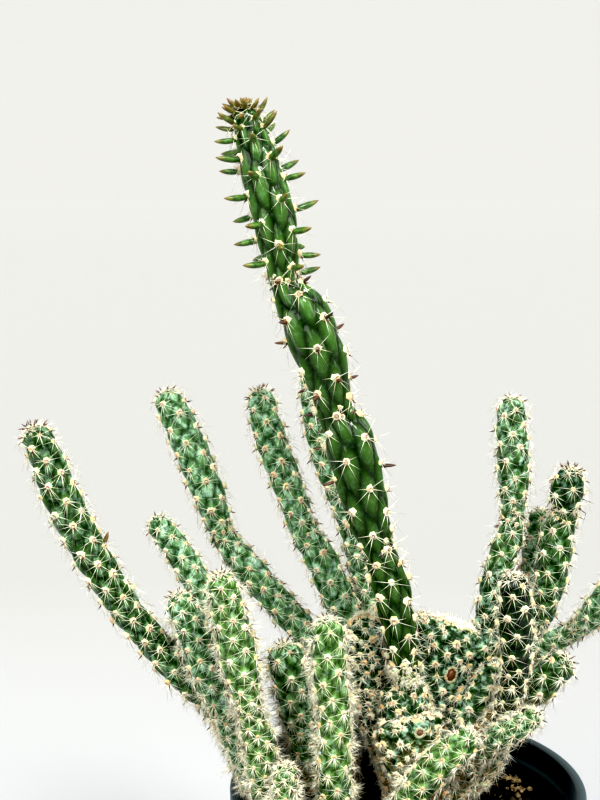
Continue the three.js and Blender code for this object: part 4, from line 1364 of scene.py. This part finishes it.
def ridge(growth, rail, tufts, depth):
    """Places of wool crowded along a lobe's growing edge."""
    FROM_TIP = 0.5
    CROWDING = 1.5
    SIZES = (0.4, 1.1)
    m = rail.end - FROM_TIP - depth * growth.rng.uniform(0, 1, tufts) ** CROWDING
    places = scattered(rail, m, SIZES, growth.rng)
    return places.pick(~blocked(places.point + places.out, growth.owner))


def scarred(points):
    """True where a point lies on a scar or its rim."""
    RIM = 1.2
    near = [np.linalg.norm(points - spot, axis=1) < tall + RIM for _, spot, _, tall in SCARS]
    return np.any(near, axis=0)


def nearest_place(rail, spot, raised):
    """The place on a body's skin that is nearest a spot, raised off it."""
    STEPS = 90
    m = np.linspace(0, rail.end, STEPS)
    turns = np.tile(np.linspace(0, TAU, STEPS), (STEPS, 1))
    gap = np.linalg.norm(rail.points(m, turns) - spot, axis=2)
    row, column = np.unravel_index(np.argmin(gap), gap.shape)
    return Places(rail, m[row:row + 1], turns[row, column:column + 1], np.ones(1), raised)


def scar(growth, rail, spot, wide, tall):
    """A brown scar on a lobe's skin nearest a spot, with a rim of cream felt."""
    EDGE = 18
    PROUD = 1.0
    SIZES = (0.4, 0.55)
    DOMED = 0.5
    TONE = 0.85
    centre = nearest_place(rail, spot, PROUD)
    angle = np.arange(EDGE) * TAU / EDGE
    rim = centre.pick(np.zeros(EDGE, int))
    arm = rim.round * (wide * np.cos(angle))[:, None] + rim.up * (tall * np.sin(angle))[:, None]
    rim.point = rim.point + arm
    rim.size = growth.rng.uniform(*SIZES, EDGE)
    wool(growth, rim, SCAR_WOOL)
    poles = centre.point + centre.out * np.array([[DOMED], [-DOMED]])
    faces = [fan_faces(0, EDGE, EDGE, True), fan_faces(0, EDGE, EDGE + 1, False)]
    growth.leaves.add(np.vstack([rim.point, poles]), faces, dry=1.0, rust=0.0, tone=TONE, reach=0)


def lobe_areoles(body, growth, rail, look):
    """A lobe's skin, added to the body, and its areoles of uneven size."""
    CROWDING = 0.12
    JITTER = 0.22
    SPACING = 1.1
    SIZES = (0.6, 1.2)
    areoles = Areoles(rail, lambda *_: look.area, CROWDING, JITTER, growth.rng)
    places = areole_places(areoles, CREST_SHAPE, growth.owner)
    places = places.pick(~scarred(places.point))
    skin(body, rail, areoles, CREST_SHAPE, SPACING, SPACING, age=look.age)
    places.size = growth.rng.uniform(*SIZES, len(places))
    return places


def lobe(body, growth, name):
    """One lobe of the crest: its skin, wool, spines and withered scraps."""
    HIGH = 1.35
    TONES = (0.2, 1.0)
    THIN = 0.38
    STRAY = 26
    TUFTED = 0.3
    EVERY_SECOND = slice(None, None, 2)
    rail, look = LOBES[name], LOBE_LOOKS[name]
    growth.owner = OWNERS[name]
    places = lobe_areoles(body, growth, rail, look)
    wool(growth, places, Tuft(look.wool, HIGH, TONES))
    spines(growth, places, Bristles(*look.spines, THIN, SPINE_FAN, STRAY))
    tufted = places.pick(growth.rng.uniform(0, 1, len(places)) < TUFTED)
    spines(growth, tufted, TUFT_SPINES)
    ticks(growth, places, share=0.3, length=1.8)
    if look.ridge:
        crowd = ridge(growth, rail, *look.ridge)
        wool(growth, crowd, RIDGE_WOOL)
        spines(growth, crowd, RIDGE_SPINES)
    dust = caught(growth, rail, *look.dust)
    wool(growth, dust.pick(EVERY_SECOND), DUST_WOOL)
    spines(growth, dust, DUST_SPINES)


def crest():
    """The crest's lobes in one piece, with their wool, spines and withered scraps."""
    SEED = 7
    CORK_FADE = (148, 192)
    OLD_FADE = (130, 165)
    body, growth = Mass(), Growth(SEED)
    for name in LOBES:
        lobe(body, growth, name)
    for name, *mark in SCARS:
        scar(growth, LOBES[name], *mark)
    heights = body.heights()
    age = np.concatenate(body.values["age"])
    body.values["cork"] = [1 - smooth(heights, *CORK_FADE)]
    body.values["age"] = [np.maximum(age, 1 - smooth(heights, *OLD_FADE))]
    body.build("crest_skin", "crest", "flesh_crest", FLESH["crest"])
    growth.build("crest", "crest_scraps")


crest()


# Pot and soil


def inner_radius(z):
    """The pot's inner wall below its ledge."""
    low = BASE_RADIUS - WALL
    high = RIM_RADIUS - RIM_WIDTH - LEDGE_WIDTH
    return low + (high - low) * (z - FLOOR) / (LEDGE_HEIGHT - FLOOR)


def rounded(profile, radius):
    """An outline [r, z] with each corner between its ends rounded off."""
    STEPS = 4
    MOST = 0.45
    made = [profile[0]]
    for before, corner, after in zip(profile, profile[1:], profile[2:]):
        before, corner, after = (np.array(p, float) for p in (before, corner, after))
        arms = [(before - corner), (after - corner)]
        cut = [min(radius, np.linalg.norm(arm) * MOST) for arm in arms]
        start, end = (corner + unit(arm) * c for arm, c in zip(arms, cut))
        for t in np.linspace(0, 1, STEPS + 1):
            made.append((1 - t) ** 2 * start + 2 * t * (1 - t) * corner + t * t * end)
    made.append(profile[-1])
    return np.array(made, float)


def lathe(mass, profile, columns):
    """A closed body turned from an outline whose ends lie on the axis."""
    angle = np.arange(columns) * TAU / columns
    reach = profile[1:-1, :1]
    height = np.repeat(profile[1:-1, 1:], columns, axis=1)
    points = np.stack([reach * np.cos(angle), reach * np.sin(angle), height], axis=-1)
    ends = [[0, 0, profile[0, 1]], [0, 0, profile[-1, 1]]]
    mass.add(np.vstack([points.reshape(-1, 3), ends]), closed_faces(len(reach), columns))


def pot_outline():
    """The pot's section, from the middle of its underside round its rim to the middle of its floor."""
    STEP = 1
    NECK_LEAN = 0.6
    SKIRT_LEAN = 0.4
    ROUND = 0.8
    inside = inner_radius(LEDGE_HEIGHT)
    neck = inside + WALL
    lip = RIM_RADIUS - RIM_WIDTH
    under = POT_HEIGHT - WALL
    skirt = POT_HEIGHT - RIM_SKIRT
    corners = [
        [0, 0], [BASE_RADIUS - STEP, 0], [BASE_RADIUS, STEP], [neck, skirt + STEP],
        [neck + NECK_LEAN, under], [RIM_RADIUS - WALL, under], [RIM_RADIUS - WALL - SKIRT_LEAN, skirt],
        [RIM_RADIUS - SKIRT_LEAN, skirt], [RIM_RADIUS, POT_HEIGHT], [lip, POT_HEIGHT],
        [lip, LEDGE_HEIGHT + STEP], [inside, LEDGE_HEIGHT], [inner_radius(FLOOR), FLOOR], [0, FLOOR],
    ]
    return rounded(corners, ROUND)


def drain_cutter(material):
    """An object of upright pegs that cuts the drain holes."""
    COLUMNS = 32
    low, high = -FLOOR, 2 * FLOOR
    peg, pegs = Mass(), Mass()
    lathe(peg, np.array([[0, low], [DRAIN_RADIUS, low], [DRAIN_RADIUS, high], [0, high]]), COLUMNS)
    faces = [block for parts in peg.faces.values() for block in parts]
    for i in range(DRAIN_HOLES):
        angle = TAU * i / DRAIN_HOLES
        shift = [DRAIN_CIRCLE * math.cos(angle), DRAIN_CIRCLE * math.sin(angle), 0]
        pegs.add(np.vstack(peg.vertices) + shift, faces)
    return pegs.build("drain_cutter", "pot", "pot", material, soft=False)


def pot():
    """The pot's shell, with its drain holes cut through the base."""
    COLUMNS = 180
    shell = Mass()
    lathe(shell, pot_outline(), COLUMNS)
    piece = shell.build("pot_shell", "pot", "pot", pot_material())
    cutter = drain_cutter(piece.data.materials[0])
    cut = piece.modifiers.new("drains", "BOOLEAN")
    cut.object = cutter
    cut.solver = "EXACT"
    graph = bpy.context.evaluated_depsgraph_get()
    piece.data = bpy.data.meshes.new_from_object(piece.evaluated_get(graph))
    piece.modifiers.clear()
    bpy.data.objects.remove(cutter)
    piece.data.name = "pot_shell"


def soil_height(share):
    """The height of the smooth mound at that share of the way out to its edge."""
    return SOIL_EDGE + (SOIL_MOUND - SOIL_EDGE) * (1 - share**2)


def mound(edge, rng):
    """The soil, rough with grains on top."""
    COLUMNS = 220
    ROWS = 46
    INNERMOST = 0.004
    ROUGH = (-0.5, 0.55)
    ROUGH_FADE = 6
    SLACK = 0.01
    share = np.linspace(1, INNERMOST, ROWS)
    sides = np.array([[0, SOIL_BOTTOM], [inner_radius(SOIL_BOTTOM) - FIT, SOIL_BOTTOM]])
    top = np.column_stack([share * edge, soil_height(share)])
    body = Mass()
    lathe(body, np.vstack([sides, top, [[0, SOIL_MOUND]]]), COLUMNS)
    points = body.vertices[0]
    on_top = points[:, 2] > SOIL_EDGE - SLACK
    inner = smooth(edge - np.hypot(points[:, 0], points[:, 1]), 0, ROUGH_FADE)
    points[:, 2] += on_top * inner * rng.normal(*ROUGH, len(points))
    body.build("soil_mound", "soil", "soil", soil_material())


def crumb_ball():
    """A ball of twenty faces."""
    CORNERS = 12
    TINY = 0.01
    gold = (1 + math.sqrt(5)) / 2
    rows = [(0, a, b * gold) for a in (-1, 1) for b in (-1, 1)]
    points = unit(np.array([np.roll(row, turn) for row in rows for turn in range(3)], float))
    near = np.linalg.norm(points[:, None] - points, axis=2)
    side = near[near > TINY].min() + TINY
    faces = []
    for i, j, k in combinations(range(CORNERS), 3):
        if max(near[i, j], near[j, k], near[i, k]) < side:
            normal = np.cross(points[j] - points[i], points[k] - points[i])
            faces.append((i, j, k) if normal @ points[i] > 0 else (i, k, j))
    return points, np.array(faces)


CRUMBS = 900
# The middles [x, y] of clumps of pale crumbs, and how many crumbs each has
CLUMPS = ((58, 33), (57, 45), (45, 45))
CLUMPED = 16


def crumb_spread(reach, rng):
    """The place [x, y], size and tone of each crumb, within that reach: the clumps and then the rest."""
    SIZES = (0.5, 2.0)
    FEW_LARGE = 1.3
    FEW_PALE = 7
    CLUMP_SPREAD = (3.2, 1.6)
    CLUMP_SIZES = (0.9, 2.2)
    CLUMP_TONES = (0.5, 1.0)
    far = reach * np.sqrt(rng.uniform(0, 1, CRUMBS))
    angle = rng.uniform(0, TAU, CRUMBS)
    size = rng.uniform(*SIZES, CRUMBS) ** FEW_LARGE
    place = np.column_stack([far * np.cos(angle), far * np.sin(angle)])
    tone = rng.uniform(0, 1, CRUMBS) ** FEW_PALE
    for i, spot in enumerate(CLUMPS):
        part = slice(i * CLUMPED, (i + 1) * CLUMPED)
        place[part] = spot + rng.normal(0, CLUMP_SPREAD, (CLUMPED, 2))
        size[part] = rng.uniform(*CLUMP_SIZES, CLUMPED)
        tone[part] = rng.uniform(*CLUMP_TONES, CLUMPED)
    return place * np.minimum(1, reach / np.hypot(*place.T))[:, None], size, tone


def crumbs(edge, rng):
    """Loose crumbs on the soil, most of them dark."""
    FROM_EDGE = 3
    RAISED = 0.2
    LUMPS = (0.65, 1.2)
    STRETCH = (0.6, 1.3)
    place, size, tone = crumb_spread(edge - FROM_EDGE, rng)
    height = soil_height(np.hypot(*place.T) / edge) + size * RAISED
    centre = np.column_stack([place, height])
    ball, faces = crumb_ball()
    lumps = rng.uniform(*LUMPS, (CRUMBS, len(ball), 1)) * size[:, None, None]
    stretch = rng.uniform(*STRETCH, (CRUMBS, 1, 3))
    points = centre[:, None] + ball * lumps * stretch
    faces = (np.arange(CRUMBS)[:, None, None] * len(ball) + faces).reshape(-1, 3)
    loose = Mass()
    loose.add(points, [faces], tone=np.repeat(tone, len(ball)))
    loose.build("soil_crumbs", "soil", "soil", crumb_material(), soft=False)


def soil():
    """The mound and the crumbs on it."""
    SEED = 41
    rng = np.random.default_rng(SEED)
    edge = inner_radius(SOIL_EDGE) - FIT
    mound(edge, rng)
    crumbs(edge, rng)


pot()
soil()


# Floor, light and camera

# Lamps as far away as the sun: name, the way to it, strength, angle across in degrees and tint
SUNS = [
    ("key", unit(np.array([0.35, -0.65, 1.0])), 4.5, 20, (1.0, 1.0, 0.98)),
    ("fill", unit(np.array([-0.6, -1.0, 0.7])), 3.2, 50, (0.98, 1.0, 0.98)),
    ("rim", unit(np.array([1.0, -0.15, 0.55])), 1.4, 30, (1.0, 1.0, 1.0)),
]
SKY_STRENGTH = 0.78
SKY_TINT = (1.0, 0.995, 0.96, 1)
BACKDROP_LIGHT = 0.912
VIEW_GAMMA = 0.775
BLACK_LEVEL = 0.028
LENS = 70
SENSOR_WIDTH = 36
CAMERA_PLACE = (-0.0514, -0.6918, 0.4871)
CAMERA_DOWN = 12.11


def floor_material():
    """Pale paint, of a tone that each part of the sheet has as its value, cooler and lighter by the pot."""
    material, tree, shader = tree_of("pale_floor", Roughness=1.0, Specular_IOR_Level=0.0)
    place = node(tree, "ShaderNodeTexCoord").outputs["Object"]
    ahead = node(tree, "ShaderNodeSeparateXYZ", [("Vector", place)]).outputs["Y"]
    tint = layered(
        tree, (1.095, 1.105, 1.135, 1),
        (ranged(tree, ahead, 0.25, 0.75), (0.98, 0.975, 0.96, 1)),
        (ranged(tree, ahead, 3.5, 6.0), (1.0, 0.993, 0.975, 1)),
    )
    links = [(0, tint), (1, value_of(tree, "pale"))]
    paint = node(tree, "ShaderNodeVectorMath", links, operation="MULTIPLY").outputs[0]
    feed(tree, paint, shader.inputs["Base Color"])
    return material


def floor():
    """A pale sheet that curves up behind the pot, painted so that it is equally light all over."""
    WIDTH = 30.0
    FRONT = -8.0
    BACK = 5.0
    BEND = 4.0
    TOP = 12.0
    STEPS = 40
    angles = np.linspace(0, math.pi / 2, STEPS)
    bend = np.column_stack([BACK + BEND * np.sin(angles), BEND * (1 - np.cos(angles))])
    line = np.vstack([[FRONT, 0], bend, [BACK + BEND, TOP]])
    slope = np.concatenate([[0], angles, [math.pi / 2]])
    seen_floor = (1 - np.cos(slope)) / 2
    light = SKY_STRENGTH * (1 - seen_floor) + BACKDROP_LIGHT * seen_floor
    for _, way, strength, _, _ in SUNS:
        light += strength / math.pi * (way[2] * np.cos(slope) - way[1] * np.sin(slope))
    points = [(x, y, z) for y, z in line for x in (-WIDTH / 2, WIDTH / 2)]
    faces = [(2 * i, 2 * i + 1, 2 * i + 3, 2 * i + 2) for i in range(len(line) - 1)]
    mesh = bpy.data.meshes.new("floor_sheet")
    mesh.from_pydata(points, [], faces)
    mesh.shade_smooth()
    pale = mesh.attributes.new("pale", "FLOAT", "POINT")
    pale.data.foreach_set("value", np.repeat(BACKDROP_LIGHT / light, 2).astype(np.float32))
    mesh.materials.append(floor_material())
    sheet = bpy.data.objects.new("floor_sheet", mesh)
    bpy.context.scene.collection.objects.link(sheet)


def lights(scene):
    """The sky and the lamps."""
    world = bpy.data.worlds.new("studio")
    world.use_nodes = True
    sky = world.node_tree.nodes["Background"]
    sky.inputs["Color"].default_value = SKY_TINT
    sky.inputs["Strength"].default_value = SKY_STRENGTH
    scene.world = world
    for name, way, strength, angle, tint in SUNS:
        sun = bpy.data.lights.new(name, "SUN")
        sun.energy = strength
        sun.angle = math.radians(angle)
        sun.color = tint
        lamp = bpy.data.objects.new(name, sun)
        lamp.rotation_euler = (-Vector(way)).to_track_quat("-Z", "Y").to_euler()
        scene.collection.objects.link(lamp)


def view(scene):
    """The camera, and the contrast of its picture."""
    scene.view_settings.view_transform = "Standard"
    scene.view_settings.look = "None"
    scene.view_settings.gamma = VIEW_GAMMA
    scene.view_settings.use_curve_mapping = True
    scene.view_settings.curve_mapping.black_level = (BLACK_LEVEL,) * 3
    scene.view_settings.curve_mapping.update()
    camera = bpy.data.cameras.new("camera")
    camera.lens = LENS
    camera.sensor_width = SENSOR_WIDTH
    camera.sensor_fit = "AUTO"
    eye = bpy.data.objects.new("camera", camera)
    eye.location = CAMERA_PLACE
    eye.rotation_euler = (math.radians(90 - CAMERA_DOWN), 0, 0)
    scene.collection.objects.link(eye)
    scene.camera = eye


floor()
lights(bpy.context.scene)
view(bpy.context.scene)

bpy.context.view_layer.update()
